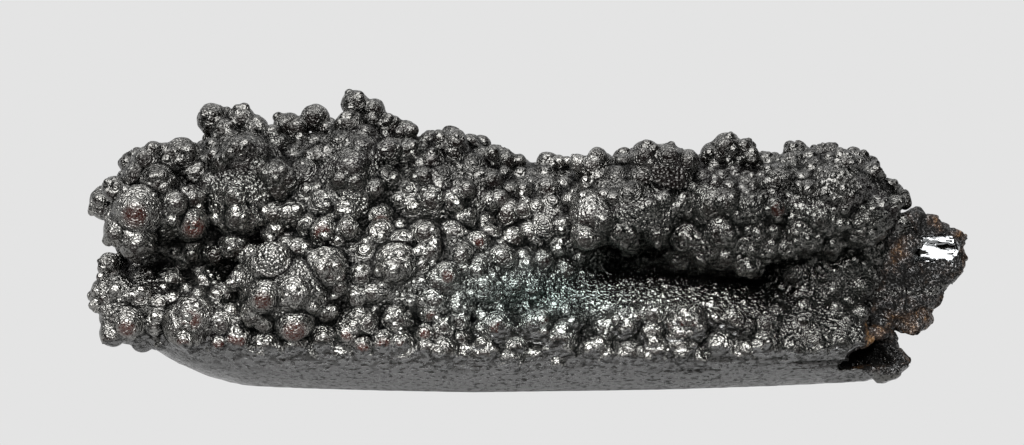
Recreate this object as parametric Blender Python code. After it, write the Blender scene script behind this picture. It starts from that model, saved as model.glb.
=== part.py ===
"""A cabinet-sized specimen of botryoidal goethite, built as one natural solid.

Metres, +Z up. The length runs along X, the front faces -Y, and the specimen rests on Z = 0 with the
origin under the middle of its box. Every size below is in millimetres until it is placed.

The rough form is a set of rounded masses, a smooth lower shell and the two broken pieces of the right
end. The globules of the front are seated on it where an eye in front sees them, and those of the rest
are scattered by a rule. A voxel remesh grows it all together, a lightened copy of that is hollowed at
the broken end, and the foot is cut off flat.
"""

import math
import random
from typing import NamedTuple

import bmesh
import bpy
from mathutils import Matrix, Vector, noise
from mathutils.bvhtree import BVHTree

MM = 0.001

# Where the lower shell runs from front to back, and the shift that brings the middle of the finished
# box over the origin.
SHELL_MIDDLE_Y = -1.0
BOX_MIDDLE = Vector((0.0, -0.8, 0.0))

# The eye that the front globules are placed for: how far off it is, the angle it looks down at, and
# the point of the front that is in the middle of its view.
EYE_DISTANCE = 700.0
EYE_DOWN = math.radians(8.0)
EYE_MIDDLE = (-3.1, 30.2)
FRONT_FOOT_Y = -20.0
FRONT_PLANE_DEPTH = 15.0

# What all that is left to chance is drawn from.
SEED = 7

# How deep a globule sits in what it grew on, as a share of its radius, and how round it is.
SEAT_DEPTH = 0.25
GLOBULE_DETAIL = 2
ROUNDNESS = 0.1

# The rule of the scattered globules: how many tries, the radii on the side the eye sees and on the
# rest, how close two may come there, and where the crust they grow on begins and ends.
SCATTER_TRIES = 9000
SEEN_RADII = (1.7, 2.7)
UNSEEN_RADII = (2.6, 4.4)
SEEN_SPACING = 0.72
UNSEEN_SPACING = 0.85
SEEN_FLOOR = 10.5
UNSEEN_FLOOR = 17.0
CRUST_RIGHT = 62.0

# The uneven face of the broken end: where it begins, its grain and its relief.
BREAK_FROM = 62.0
BREAK_GRAIN = 3.0
BREAK_RELIEF = 1.2

# Fineness of the fused form, the number of triangles it is lightened to, and how strongly the crust of
# the front is spared, which ends towards the back and on the smooth shell.
VOXEL = 0.8
TRIANGLES = 9500
FRONT_HOLD = 0.002
FRONT_EASE = 0.5
BACK_FROM = -2.0
BACK_FULL = 14.0
SMOOTH_BELOW = 8.0


class Mass(NamedTuple):
    """A rounded mass of the rough form: its middle, its half sizes, and how far it leans to the right."""

    name: str
    middle: tuple[float, float, float]
    radii: tuple[float, float, float]
    lean: float = 0.0


class Slab(NamedTuple):
    """A broken piece: its outline as x and height on the front, and the y of its near and far face.

    Each face has a y at the outline's left end and another at its right end.
    """

    outline: tuple[tuple[float, float], ...]
    near: tuple[float, float]
    far: tuple[float, float]


MASSES = (
    Mass("left_head", (-67, 0, 31.6), (9.4, 15, 8.0)),
    Mass("left_core", (-60, 4, 24), (15.5, 13, 14)),
    Mass("crown_body", (-33, 4, 29), (32, 16, 14.6)),
    Mass("crown_left", (-51.5, 3, 33), (11, 16, 12.2)),
    Mass("crown_peak", (-32, 4, 33), (10, 17, 13.4)),
    Mass("crown_right", (-17, 4, 29), (17, 17, 14.2)),
    Mass("saddle", (2, 4, 25), (16, 15, 13.2)),
    Mass("slope", (-22, -8, 18), (30, 13, 12)),
    Mass("front_swell", (-43, -15, 18), (9.5, 10, 8.5)),
    Mass("left_foot", (-69, -5, 13), (8.4, 13, 7.2)),
    Mass("foot_mid", (-58, -9, 12), (9, 13, 7)),
    Mass("lobe_left", (19, -2, 31.2), (13.5, 15, 8.0)),
    Mass("lobe_mid", (36, 0, 31), (14, 16, 8.6)),
    Mass("lobe_right", (53, 1, 31), (14.5, 16, 9.2), 6),
    Mass("lobe_belly", (36, -7, 26), (12, 9, 6)),
    Mass("ledge", (24, -4, 12), (34, 16, 6.5), 3),
    Mass("web", (30, 10, 18), (34, 12, 12)),
    Mass("web_right", (54, 4, 18), (13, 14, 12)),
)

# The lower shell along its length: x, height of its middle, half depth and half height there.
SHELL_RINGS = (
    (-68, 9.5, 13, 4.6),
    (-64, 9.0, 17, 6.4),
    (-58, 8.2, 20, 8.2),
    (-50, 7.0, 21, 9.2),
    (-38, 6.8, 22, 10.2),
    (-26, 6.4, 22.5, 10.8),
    (-10, 5.5, 23, 11.0),
    (25, 6.4, 21.5, 10.6),
    (50, 7.2, 19, 9.4),
    (60, 7.4, 17.5, 8.6),
)

PLATE = Slab(
    (
        (54, 12), (54, 25), (63, 29), (68, 31.4), (70, 32.2), (71, 32), (72.5, 30.6), (73.5, 31.2),
        (74, 30), (76.5, 29.3), (78, 28.3), (80, 27.4), (78.4, 25.5), (79.4, 23.6), (79.5, 21.7),
        (77.5, 19.5), (75, 17.5), (74, 16), (73, 15), (73, 12), (71.5, 11), (69.5, 10.5), (67, 10.8),
        (65.5, 11.6), (62, 11),
    ),
    near=(-8.0, -3.0),
    far=(9.0, 3.0),
)

# The broken end of the lower shell: its far wall stands out beyond the near one, round a hollow.
SHELL_END = Slab(
    (
        (54, 10.5), (60, 11.2), (65, 10.4), (67.5, 7.4), (69.5, 4.3), (66.4, 1.2), (64.6, 1.4),
        (64.2, 2.2), (61.5, 1.2), (54, 0.8),
    ),
    near=(-15.0, -13.0),
    far=(10.0, 0.0),
)
HOLLOW = Slab(
    (
        (55.8, 3.2), (57.6, 4.8), (58.2, 6.6), (60, 7.6), (61.6, 7.6), (63, 9.0), (65.4, 9.4), (76, 9.4),
        (76, 4.4), (69.5, 4.4), (67, 3.4), (64.5, 3.9), (61, 3.6),
    ),
    near=(-40.0, -40.0),
    far=(-6.0, -7.0),
)
HOLLOW_DEEP = Mass("hollow_deep", (57.0, -7.0, 6.2), (7.0, 8.0, 3.2))

# Globules read off the front, as x, height and radius, by the region of the crust they grew in.
LEFT_HEAD = (
    (-77, 33.8, 3.2), (-74.8, 36, 2.9), (-75.2, 29, 2.6), (-71.3, 32.5, 4.4), (-71.5, 27, 3.4),
    (-69.8, 41.5, 2.8), (-67.8, 37.2, 3.3), (-63.3, 42.3, 3.1), (-66, 41.9, 2.9), (-61, 39, 3),
    (-62, 30.5, 3.6), (-61.5, 34.5, 2.4), (-57.5, 24.5, 2.2),
)
CROWN = (
    (-57.8, 49.2, 2.8), (-52.5, 49.1, 2.6), (-55.5, 46.5, 2.6), (-53, 43.5, 2.6), (-53.5, 35, 2.6),
    (-53.3, 31.3, 2.4), (-53.5, 26.5, 3.6), (-46.5, 32, 2.4), (-46.5, 28.5, 2.4), (-49.8, 47.2, 2.3),
    (-44.2, 47.8, 2.7), (-39, 49.3, 2.6), (-38.2, 42.3, 2.4), (-46.5, 39, 2.4), (-49.5, 40.5, 2.2),
    (-31.8, 51.8, 2.5), (-28.2, 50.8, 2.0), (-32.8, 48, 2.8), (-26, 48, 2.4), (-22.6, 46.6, 2.3),
    (-25.5, 43.2, 2.6), (-22, 43, 2.4), (-18.6, 44.6, 2.2), (-13.3, 44.8, 2.3), (-10.6, 44.4, 2.1),
    (-17.8, 41.2, 2.1), (-17.8, 34.2, 2.6), (-7, 37.8, 2.4), (3.3, 36.2, 2.2), (-3.8, 31.8, 2.8),
    (-8.4, 42.1, 2.0), (-4.2, 41.4, 2.0), (3.4, 41.2, 2.0), (9.2, 40.8, 2.0), (12.6, 41.8, 2.2),
)
MIDDLE_SLOPE = (
    (-37.5, 28.5, 2.6), (-34, 27.5, 2.4), (-27, 31, 2.4), (-27, 28, 2.4), (-24.2, 22.8, 3.4),
    (-23, 26.5, 2.4), (-19, 28, 2.6), (-18.5, 24.5, 2.4), (-13.8, 28.3, 2.2), (-9.3, 26.6, 2.2),
    (-4.8, 23.8, 2.4), (-15, 20.8, 2.2), (2.5, 23, 2.2), (-3, 27, 2.2), (6.5, 21.5, 2.2),
    (-8.3, 18.3, 2.6), (0.3, 17.8, 2.0), (-30.5, 20.5, 2.0), (-31.5, 16.8, 2.0),
)
FRONT_SWELL = (
    (-46.8, 23.5, 3.6), (-48.2, 16.8, 3), (-42.5, 25, 2.2), (-37.3, 21.8, 3.6), (-43, 17.5, 2.6),
    (-42.8, 12, 3.6), (-50, 14, 2.6), (-37.2, 14, 2.2), (-34.8, 18.8, 2.0), (-48.3, 12.2, 2.0),
)
FRONT_ROW = (
    (-31.5, 8.6, 3.4), (-25.2, 8.6, 3.6), (-24, 13, 2.4), (-16, 8, 4.6), (-17.3, 16, 3),
    (-17.8, 13.8, 2.2), (-13, 14.5, 2.9), (-12.8, 11.8, 2.2), (-5.8, 10.8, 2.4), (1.2, 11.2, 2.9),
    (6.3, 13.4, 3.2), (5.5, 8.6, 3.4), (-2.5, 7.5, 2.2), (-8, 6.5, 2.6), (14, 10.5, 2.4),
    (17.5, 12.5, 2.4), (22.5, 13.3, 2.5), (22.5, 10, 2.2), (28.8, 12.2, 3.4), (27.5, 7.5, 3),
    (37.3, 12.3, 2.2), (42.5, 10.5, 2.2), (46.5, 11, 2.0), (51, 12, 2.0), (-29.3, 11.6, 2.2),
)
LEFT_FOOT = (
    (-77, 16.5, 3), (-74.5, 17, 2.6), (-73, 11.8, 2.8), (-71, 16.5, 2.4), (-76, 10, 2.4),
    (-68, 12.5, 2.6), (-68, 9, 2.4), (-65.5, 19.5, 2.4), (-61.3, 13, 3.5), (-62.8, 9, 2.1),
    (-56.3, 11.8, 2.2), (-53.3, 9, 2.8), (-56.5, 8, 2.2), (-76.5, 22.6, 2.4), (-70.6, 8.4, 2.0),
    (-56, 17, 2.2),
)
RIGHT_LOBE = (
    (12, 31.5, 4.2), (17.3, 28.6, 2.6), (10.8, 28, 2.8), (23.3, 28.3, 2.2), (35.2, 28.4, 2.4),
    (28.8, 27.5, 2.6), (36.3, 43.4, 3.2), (33.8, 42, 2.6), (39.3, 42.8, 2.4), (21.5, 42, 3.0),
    (25.5, 42, 2.6), (28.8, 41.2, 2.2), (20.5, 38, 2.6), (39.5, 23, 2.6), (62.5, 26, 3),
    (54.5, 42.6, 2.2), (58, 41, 2.0), (62.5, 38.8, 2.2), (65.6, 36.6, 2.0), (48, 41, 2.0),
    (68.4, 34.2, 1.7), (66, 33, 2.2),
    (36.0, 34.0, 2.2), (45, 33, 2.4), (53, 31, 2.2), (58, 35, 2.4), (28, 33.5, 2.4),
    (47, 26, 2.4), (55, 26, 2.2), (45.5, 38, 2.2), (51, 36, 2.0),
)
FRONT_GLOBULES = (LEFT_HEAD, CROWN, MIDDLE_SLOPE, FRONT_SWELL, FRONT_ROW, LEFT_FOOT, RIGHT_LOBE)


def front_point(x, height):
    """The point of the front's picture plane at this x and height, in millimetres."""
    onward = Vector((0, math.cos(EYE_DOWN), -math.sin(EYE_DOWN)))
    upward = Vector((0, math.sin(EYE_DOWN), math.cos(EYE_DOWN)))
    return Vector((x, FRONT_FOOT_Y, 0)) + onward * FRONT_PLANE_DEPTH + upward * height


def eye_point():
    """Where the eye is, in millimetres."""
    onward = Vector((0, math.cos(EYE_DOWN), -math.sin(EYE_DOWN)))
    return front_point(*EYE_MIDDLE) - onward * EYE_DISTANCE


def clear_scene():
    """Removes whatever the scene holds before the build."""
    for item in list(bpy.data.objects):
        bpy.data.objects.remove(item, do_unlink=True)


def add_ball(bm, middle, radii, detail, lean=0.0):
    """Adds a ball with these half sizes to bm, leaning to the right by so many degrees."""
    place = (
        Matrix.Translation(Vector(middle) * MM)
        @ Matrix.Rotation(math.radians(lean), 4, "Y")
        @ Matrix.Diagonal((*(radius * MM for radius in radii), 1.0))
    )
    bmesh.ops.create_icosphere(bm, subdivisions=detail, radius=1.0, matrix=place)


def add_shell(bm, sides=40):
    """Adds the smooth lower shell to bm: rings lofted along its length, closed at both ends."""
    rings = []
    for x, middle_z, half_depth, half_height in SHELL_RINGS:
        ring = []
        for side in range(sides):
            angle = math.tau * side / sides
            y = SHELL_MIDDLE_Y + half_depth * math.cos(angle)
            z = middle_z + half_height * math.sin(angle)
            ring.append(bm.verts.new(Vector((x, y, z)) * MM))
        rings.append(ring)
    for ring, following in zip(rings, rings[1:]):
        for side in range(sides):
            after = (side + 1) % sides
            bm.faces.new((ring[side], ring[after], following[after], following[side]))
    bm.faces.new(rings[0][::-1])
    bm.faces.new(rings[-1])


def add_slab(bm, slab):
    """Adds a broken piece to bm: its outline as the eye sees it, carried from the near face to the far."""
    left = min(x for x, _ in slab.outline)
    right = max(x for x, _ in slab.outline)
    faces = []
    for at_left, at_right in (slab.near, slab.far):
        corners = []
        for x, height in slab.outline:
            front = front_point(x, height)
            toward_eye = (eye_point() - front).normalized()
            depth = at_left + (at_right - at_left) * (x - left) / (right - left)
            along = (front.y - depth) / -toward_eye.y
            corners.append(bm.verts.new((front + toward_eye * along) * MM))
        faces.append(corners)
    near, far = faces
    count = len(slab.outline)
    sides = [bm.faces.new((near[i], near[(i + 1) % count], far[(i + 1) % count], far[i]))
             for i in range(count)]
    caps = [bm.faces.new(near[::-1]), bm.faces.new(far)]
    bmesh.ops.recalc_face_normals(bm, faces=sides + caps)


def rough_form():
    """The masses, the lower shell and the broken pieces as one bmesh of overlapping closed shells."""
    bm = bmesh.new()
    for mass in MASSES:
        add_ball(bm, mass.middle, mass.radii, 4, mass.lean)
    add_shell(bm)
    add_slab(bm, PLATE)
    add_slab(bm, SHELL_END)
    bmesh.ops.recalc_face_normals(bm, faces=bm.faces[:])
    return bm


def ball_hit(origin, direction, middle, radius):
    """How far along a ray it meets a ball, or None."""
    to_middle = middle - origin
    along = to_middle.dot(direction)
    apart = to_middle.length_squared - along * along
    if apart > radius * radius:
        return None
    return along - math.sqrt(radius * radius - apart)


def seat_front(surface, placed):
    """Seats the globules of the front, the largest first, where the eye's ray through each meets the form."""
    eye = eye_point() * MM
    wanted = [globule for region in FRONT_GLOBULES for globule in region]
    for x, height, radius in sorted(wanted, key=lambda globule: -globule[2]):
        direction = (front_point(x, height) * MM - eye).normalized()
        hit, _, _, reach = surface.ray_cast(eye, direction)
        if hit is None:
            near, _, _, _ = surface.find_nearest(front_point(x, height) * MM)
            reach = (near - eye).dot(direction)
        for middle, size in placed:
            met = ball_hit(eye, direction, middle, size)
            if met is not None:
                reach = min(reach, met)
        placed.append((eye + direction * (reach + SEAT_DEPTH * radius * MM), radius * MM))


def scatter(surface, placed):
    """Scatters globules over the rest of the crust, smaller ones where the eye sees it."""
    chance = random.Random(SEED)
    eye = eye_point() * MM
    for _ in range(SCATTER_TRIES):
        turn = chance.uniform(0, math.tau)
        rise = chance.uniform(-0.1, 1.0)
        level = math.sqrt(1 - rise * rise)
        direction = -Vector((level * math.cos(turn), level * math.sin(turn), rise))
        target = Vector((chance.uniform(-80, 72), chance.uniform(-22, 24), chance.uniform(6, 50))) * MM
        hit, normal, _, _ = surface.ray_cast(target - direction * 0.3, direction)
        if hit is None or hit.x > CRUST_RIGHT * MM:
            continue
        to_eye = (eye - hit).normalized()
        blocked, _, _, _ = surface.ray_cast(hit + normal * 0.0002, to_eye)
        seen = blocked is None and normal.dot(to_eye) > 0.1
        if hit.z < (SEEN_FLOOR if seen else UNSEEN_FLOOR) * MM:
            continue
        radius = chance.uniform(*(SEEN_RADII if seen else UNSEEN_RADII)) * MM
        spacing = SEEN_SPACING if seen else UNSEEN_SPACING
        middle = hit - normal * SEAT_DEPTH * radius
        if all((middle - other).length > spacing * (radius + size) for other, size in placed):
            placed.append((middle, radius))


def add_globules(bm, placed):
    """Adds each globule as a slightly uneven ball."""
    chance = random.Random(SEED)
    for middle, radius in placed:
        uneven = [radius / MM * chance.uniform(1 - ROUNDNESS, 1 + ROUNDNESS) for _ in range(3)]
        add_ball(bm, middle / MM, uneven, GLOBULE_DETAIL, chance.uniform(-90, 90))


def goethite_material():
    """Near-black iron oxide with a lustre between glassy and metallic."""
    material = bpy.data.materials.new("goethite_crust")
    material.use_nodes = True
    shader = material.node_tree.nodes["Principled BSDF"]
    shader.inputs["Base Color"].default_value = (0.030, 0.026, 0.023, 1.0)
    shader.inputs["Roughness"].default_value = 0.28
    shader.inputs["Metallic"].default_value = 0.35
    return material


def new_object(name, bm):
    """Turns bm into an object at the origin."""
    mesh = bpy.data.meshes.new(name)
    bm.to_mesh(mesh)
    bm.free()
    made = bpy.data.objects.new(name, mesh)
    bpy.context.scene.collection.objects.link(made)
    return made


def add_cutter(name, bm):
    """A helper that takes part only in a Boolean."""
    cutter = new_object(name, bm)
    cutter.hide_render = True
    cutter.display_type = "WIRE"
    return cutter


def cut(target, cutter):
    """Takes the cutter away from the target."""
    modifier = target.modifiers.new("cut_" + cutter.name, "BOOLEAN")
    modifier.operation = "DIFFERENCE"
    modifier.solver = "EXACT"
    modifier.object = cutter


def grown_together(bm):
    """The overlapping shells of bm fused into one closed skin."""
    rough = new_object("rough", bm)
    remesh = rough.modifiers.new("grow_together", "REMESH")
    remesh.mode = "VOXEL"
    remesh.voxel_size = VOXEL * MM
    graph = bpy.context.evaluated_depsgraph_get()
    skin = bpy.data.meshes.new_from_object(rough.evaluated_get(graph))
    bpy.data.objects.remove(rough, do_unlink=True)
    return skin


def roughen_break(skin):
    """Gives the broken end, right of the crust, an uneven face."""
    noise.seed_set(SEED)
    for vertex in skin.vertices:
        share = min(max(vertex.co.x / MM - BREAK_FROM, 0.0), 1.0)
        vertex.co += noise.noise_vector(vertex.co / (BREAK_GRAIN * MM)) * BREAK_RELIEF * MM * share


def lighten(specimen):
    """Takes triangles out of the skin, more sparingly where the crust faces front."""
    eased = specimen.vertex_groups.new(name="eased")
    for vertex in specimen.data.vertices:
        share = (vertex.co.y / MM - BACK_FROM) / (BACK_FULL - BACK_FROM)
        share = 1.0 if vertex.co.z < SMOOTH_BELOW * MM else min(max(share, 0.0), 1.0)
        eased.add([vertex.index], FRONT_EASE + (1 - FRONT_EASE) * share, "REPLACE")
    specimen.data.calc_loop_triangles()
    modifier = specimen.modifiers.new("lighten", "DECIMATE")
    modifier.ratio = TRIANGLES / len(specimen.data.loop_triangles)
    modifier.vertex_group = eased.name
    modifier.vertex_group_factor = FRONT_HOLD


def build_specimen():
    """The whole specimen as one object named goethite."""
    bm = rough_form()
    surface = BVHTree.FromBMesh(bm)
    placed = []
    seat_front(surface, placed)
    scatter(surface, placed)
    add_globules(bm, placed)
    bmesh.ops.translate(bm, verts=bm.verts[:], vec=-BOX_MIDDLE * MM)
    skin = grown_together(bm)
    roughen_break(skin)
    specimen = bpy.data.objects.new("goethite", skin)
    specimen.data.materials.append(goethite_material())
    bpy.context.scene.collection.objects.link(specimen)
    lighten(specimen)

    hollow = bmesh.new()
    add_slab(hollow, HOLLOW)
    bmesh.ops.translate(hollow, verts=hollow.verts[:], vec=-BOX_MIDDLE * MM)
    cut(specimen, add_cutter("hollow", hollow))

    hollow_deep = bmesh.new()
    add_ball(hollow_deep, Vector(HOLLOW_DEEP.middle) - BOX_MIDDLE, HOLLOW_DEEP.radii, 3)
    cut(specimen, add_cutter("hollow_deep", hollow_deep))

    ground = bmesh.new()
    below = Matrix.Translation(Vector((0, 0, -20)) * MM) @ Matrix.Diagonal((0.3, 0.2, 0.04, 1.0))
    bmesh.ops.create_cube(ground, size=1.0, matrix=below)
    cut(specimen, add_cutter("ground", ground))


clear_scene()
build_specimen()
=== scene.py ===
"""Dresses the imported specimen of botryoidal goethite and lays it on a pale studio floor.

Metres, +Z up: the length runs along X, the front faces -Y and the foot lies on Z = 0. Sizes are in
millimetres until a mesh is made of them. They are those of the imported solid, with finer globules added,
and like there everything is moved back by SETBACK when it is placed.

The rough form, the globules read off the front and those scattered by a rule are grown together into one
fine skin. No piece may hold too many triangles, so the skin is made in stretches along its length, each
closed by a flat face where the next one begins.
"""

import itertools
import logging
import math
import operator
import random
from collections import defaultdict
from collections.abc import Iterator
from dataclasses import dataclass, field
from enum import IntEnum
from typing import NamedTuple

import bmesh
import bpy
import numpy as np
from bmesh.types import BMEdge, BMesh, BMFace
from bpy.types import Camera, Light, Material, Mesh, Node, NodeSocket, NodeTree, Object
from mathutils import Matrix, Vector, noise
from mathutils.bvhtree import BVHTree


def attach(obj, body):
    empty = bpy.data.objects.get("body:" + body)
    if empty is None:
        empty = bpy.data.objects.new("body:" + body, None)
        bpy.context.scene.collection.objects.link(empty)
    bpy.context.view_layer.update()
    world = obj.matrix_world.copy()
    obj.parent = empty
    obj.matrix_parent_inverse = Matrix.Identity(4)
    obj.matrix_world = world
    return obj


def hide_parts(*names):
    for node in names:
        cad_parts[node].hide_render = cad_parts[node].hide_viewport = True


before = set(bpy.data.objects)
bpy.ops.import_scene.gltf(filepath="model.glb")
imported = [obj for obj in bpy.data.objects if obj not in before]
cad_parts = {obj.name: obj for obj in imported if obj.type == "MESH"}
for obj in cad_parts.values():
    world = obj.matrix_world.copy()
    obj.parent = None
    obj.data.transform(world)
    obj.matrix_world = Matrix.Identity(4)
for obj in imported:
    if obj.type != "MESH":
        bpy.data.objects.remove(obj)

log = logging.getLogger("goethite")

Pair = tuple[float, float]  # a place as x and height, or the two ends of a range
Triple = tuple[float, float, float]  # a place or three sizes, or a globule's x, height and radius

MM = 0.001
MERGED = 1e-8  # metres within which a flat cut takes a vertex to lie on it
TINY = 1e-6  # the least length that is divided by
SEED = 7
SETBACK = Vector((0.0, 0.8, 0.0))
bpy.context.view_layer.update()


class Face(IntEnum):
    """What a face of the skin is: the number is its material slot."""

    CRUST = 0
    SHELL = 1
    BREAK = 2
    MIRROR = 3


class Globule(NamedTuple):
    """A ball of the crust in millimetres, the way its tip points, and how much red iron its tip shows."""

    middle: Vector
    radius: float
    tip: Vector
    iron: float


class Stretch(NamedTuple):
    """A length of the specimen that is one piece: its name, and the x of its ends in millimetres."""

    name: str
    left: float
    right: float


def linear(code: str) -> tuple[float, float, float, float]:
    """Turns an sRGB hex colour into linear light.

    Args:
        code: The colour as # and six hex digits.

    Returns:
        Red, green, blue and an alpha of one.
    """
    shares = [int(code[i : i + 2], 16) / 255 for i in (1, 3, 5)]
    red, green, blue = (s / 12.92 if s <= 0.04045 else ((s + 0.055) / 1.055) ** 2.4 for s in shares)
    return red, green, blue, 1.0


def per_metre(size: float) -> float:
    """The scale that makes a pattern repeat about once in so many millimetres."""
    return 1 / (size * MM)


def smooth_step(low: float, high: float, values: np.ndarray) -> np.ndarray:
    """Rises from 0 at low to 1 at high, gently at both ends."""
    share = np.clip((values - low) / (high - low), 0.0, 1.0)
    return share * share * (3 - 2 * share)


def noise_of(points: np.ndarray, grain: float, octaves: int = 2) -> np.ndarray:
    """Reads a fractal noise at many points.

    Args:
        points: The points in millimetres, one per row.
        grain: The size of the coarsest bumps in millimetres.
        octaves: How many noises are added up, each half as large and half as strong as the last.

    Returns:
        One value per point, around 0 and mostly between -1 and 1.
    """
    places = (points / grain).tolist()
    return np.array([noise.fractal(place, 1.0, 2.0, octaves) for place in places])


def fill_inputs(tree: NodeTree, node: Node, inputs: dict) -> None:
    """Fills a node's inputs.

    Args:
        tree: The node tree that the node is in.
        node: The node.
        inputs: Its inputs by name or number; a socket is linked, and anything else is a plain value.
    """
    for name, value in inputs.items():
        if isinstance(value, NodeSocket):
            tree.links.new(value, node.inputs[name])
        else:
            node.inputs[name].default_value = value


def add_node(tree: NodeTree, kind: str, settings: dict, inputs: dict) -> Node:
    """Adds a node to a material or a world.

    Args:
        tree: The node tree that takes it.
        kind: The node's type, without its leading ShaderNode.
        settings: The node's own properties by name.
        inputs: Its inputs, as fill_inputs takes them.

    Returns:
        The new node.
    """
    node = tree.nodes.new("ShaderNode" + kind)
    for name, value in settings.items():
        setattr(node, name, value)
    fill_inputs(tree, node, inputs)
    return node


def new_material(name: str) -> tuple[Material, NodeTree, Node]:
    """Makes a material with nodes.

    Args:
        name: Its name.

    Returns:
        The material, its node tree and the shader in it.
    """
    material = bpy.data.materials.new(name)
    material.use_nodes = True
    return material, material.node_tree, material.node_tree.nodes["Principled BSDF"]


def glow(name: str, colour: str) -> Material:
    """Makes a material that glows evenly in an sRGB hex colour and mirrors nothing.

    Args:
        name: Its name.
        colour: The sRGB hex colour.

    Returns:
        The material.
    """
    material, tree, shader = new_material(name)
    fill_inputs(tree, shader, {
        "Base Color": (0, 0, 0, 1), "Specular IOR Level": 0.0,
        "Emission Color": linear(colour), "Emission Strength": 1.0})
    return material


def new_object(name: str, data: Mesh | Light | Camera) -> Object:
    """Links a new object that shows this data at the origin.

    Args:
        name: Its name.
        data: What it shows.

    Returns:
        The object.
    """
    made = bpy.data.objects.new(name, data)
    bpy.context.scene.collection.objects.link(made)
    return made


def mesh_from(name: str, bm: BMesh) -> Mesh:
    """Turns bm into a mesh and frees it.

    Args:
        name: The mesh's name.
        bm: The bmesh, which is gone afterwards.

    Returns:
        The mesh.
    """
    mesh = bpy.data.meshes.new(name)
    bm.to_mesh(mesh)
    bm.free()
    return mesh


def with_modifiers(carrier: Object) -> Mesh:
    """The mesh of an object with its modifiers applied; the object is removed.

    Args:
        carrier: The object.

    Returns:
        The mesh.
    """
    graph = bpy.context.evaluated_depsgraph_get()
    mesh = bpy.data.meshes.new_from_object(carrier.evaluated_get(graph))
    bpy.data.objects.remove(carrier, do_unlink=True)
    return mesh


def array_of(mesh: Mesh, collection: str, name: str, width: int = 3) -> np.ndarray:
    """Reads one property of all of a mesh's vertices, edges, corners or polygons into rows.

    Args:
        mesh: The mesh.
        collection: vertices, edges, loops or polygons.
        name: The property's name.
        width: How many numbers each has; three are read as floats.

    Returns:
        The numbers, one row for each, or a flat array where each has one.
    """
    items = getattr(mesh, collection)
    values = np.zeros(len(items) * width, np.float32 if width == 3 else np.int32)
    items.foreach_get(name, values)
    return values.reshape(-1, width) if width > 1 else values


def hollow_depths(mesh: Mesh, rounds: tuple[int, ...]) -> list[np.ndarray]:
    """Finds how deep each vertex lies in a crevice.

    Args:
        mesh: The mesh, in metres.
        rounds: How often the mesh is evened out to find a surface without crevices, from few to many.

    Returns:
        For each of those, the depths under the evened surface in millimetres, less than zero on a bump.
    """
    points = array_of(mesh, "vertices", "co").astype(float) / MM
    normals = array_of(mesh, "vertices", "normal")
    one, other = array_of(mesh, "edges", "vertices", 2).T
    total = len(points)
    joined = np.bincount(one, minlength=total) + np.bincount(other, minlength=total)
    even, depths = points, []
    for count in range(1, rounds[-1] + 1):
        summed = [
            np.bincount(one, even[other, axis], total) + np.bincount(other, even[one, axis], total)
            for axis in range(3)
        ]
        even = np.column_stack(summed) / np.maximum(joined, 1)[:, None]
        if count in rounds:
            depths.append(((even - points) * normals).sum(axis=1))
    return depths


@dataclass(frozen=True)
class Sight:
    """The eye that the photograph was taken from, and the upright plane that its places are read on."""

    distance: float = 700.0
    down: float = math.radians(8.0)
    middle: Pair = (-3.1, 30.2)
    foot_y: float = -20.0
    plane_depth: float = 15.0
    picture_width: float = 1024 * 0.1826  # the photograph's pixels, at so many millimetres each

    def onward(self) -> Vector:
        """The way the eye looks."""
        return Vector((0, math.cos(self.down), -math.sin(self.down)))

    def front_point(self, x: float, height: float) -> Vector:
        """The point of the plane at this x and this height above the front foot."""
        upward = Vector((0, math.sin(self.down), math.cos(self.down)))
        return Vector((x, self.foot_y, 0)) + self.onward() * self.plane_depth + upward * height

    def eye(self) -> Vector:
        """Where the eye is."""
        return self.front_point(*self.middle) - self.onward() * self.distance

    def read_back(self, points: np.ndarray) -> np.ndarray:
        """The x and height that the eye sees each point at, one pair per row.

        Args:
            points: The points in millimetres, one per row.

        Returns:
            The x and heights.
        """
        eye = np.array(self.eye())
        onward = np.array(self.onward())
        apart = points - eye
        apart = apart * (self.distance / (apart @ onward))[:, None]
        height = apart @ np.array((0, math.sin(self.down), math.cos(self.down)))
        return np.column_stack((eye[0] + apart[:, 0], self.middle[1] + height))


@dataclass(frozen=True)
class Spot:
    """A soft round place in the eye's view: its middle and half sizes, as x and height, and its strength."""

    middle: Pair
    half: Pair
    strength: float = 1.0

    def share(self, seen: np.ndarray) -> np.ndarray:
        """How strong the spot is at each point that the eye sees."""
        off = (seen - np.array(self.middle)) / np.array(self.half)
        return self.strength * np.exp(-((off**2).sum(axis=1)))


@dataclass(frozen=True)
class Zone:
    """A part of the eye's view: the x and the heights from which it starts and is full, and its strength."""

    over_x: Pair
    over_height: Pair
    strength: float

    def share(self, seen: np.ndarray) -> np.ndarray:
        """How strong the zone is at each point that the eye sees."""
        x, height = seen.T
        return self.strength * smooth_step(*self.over_x, x) * smooth_step(*self.over_height, height)


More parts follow.
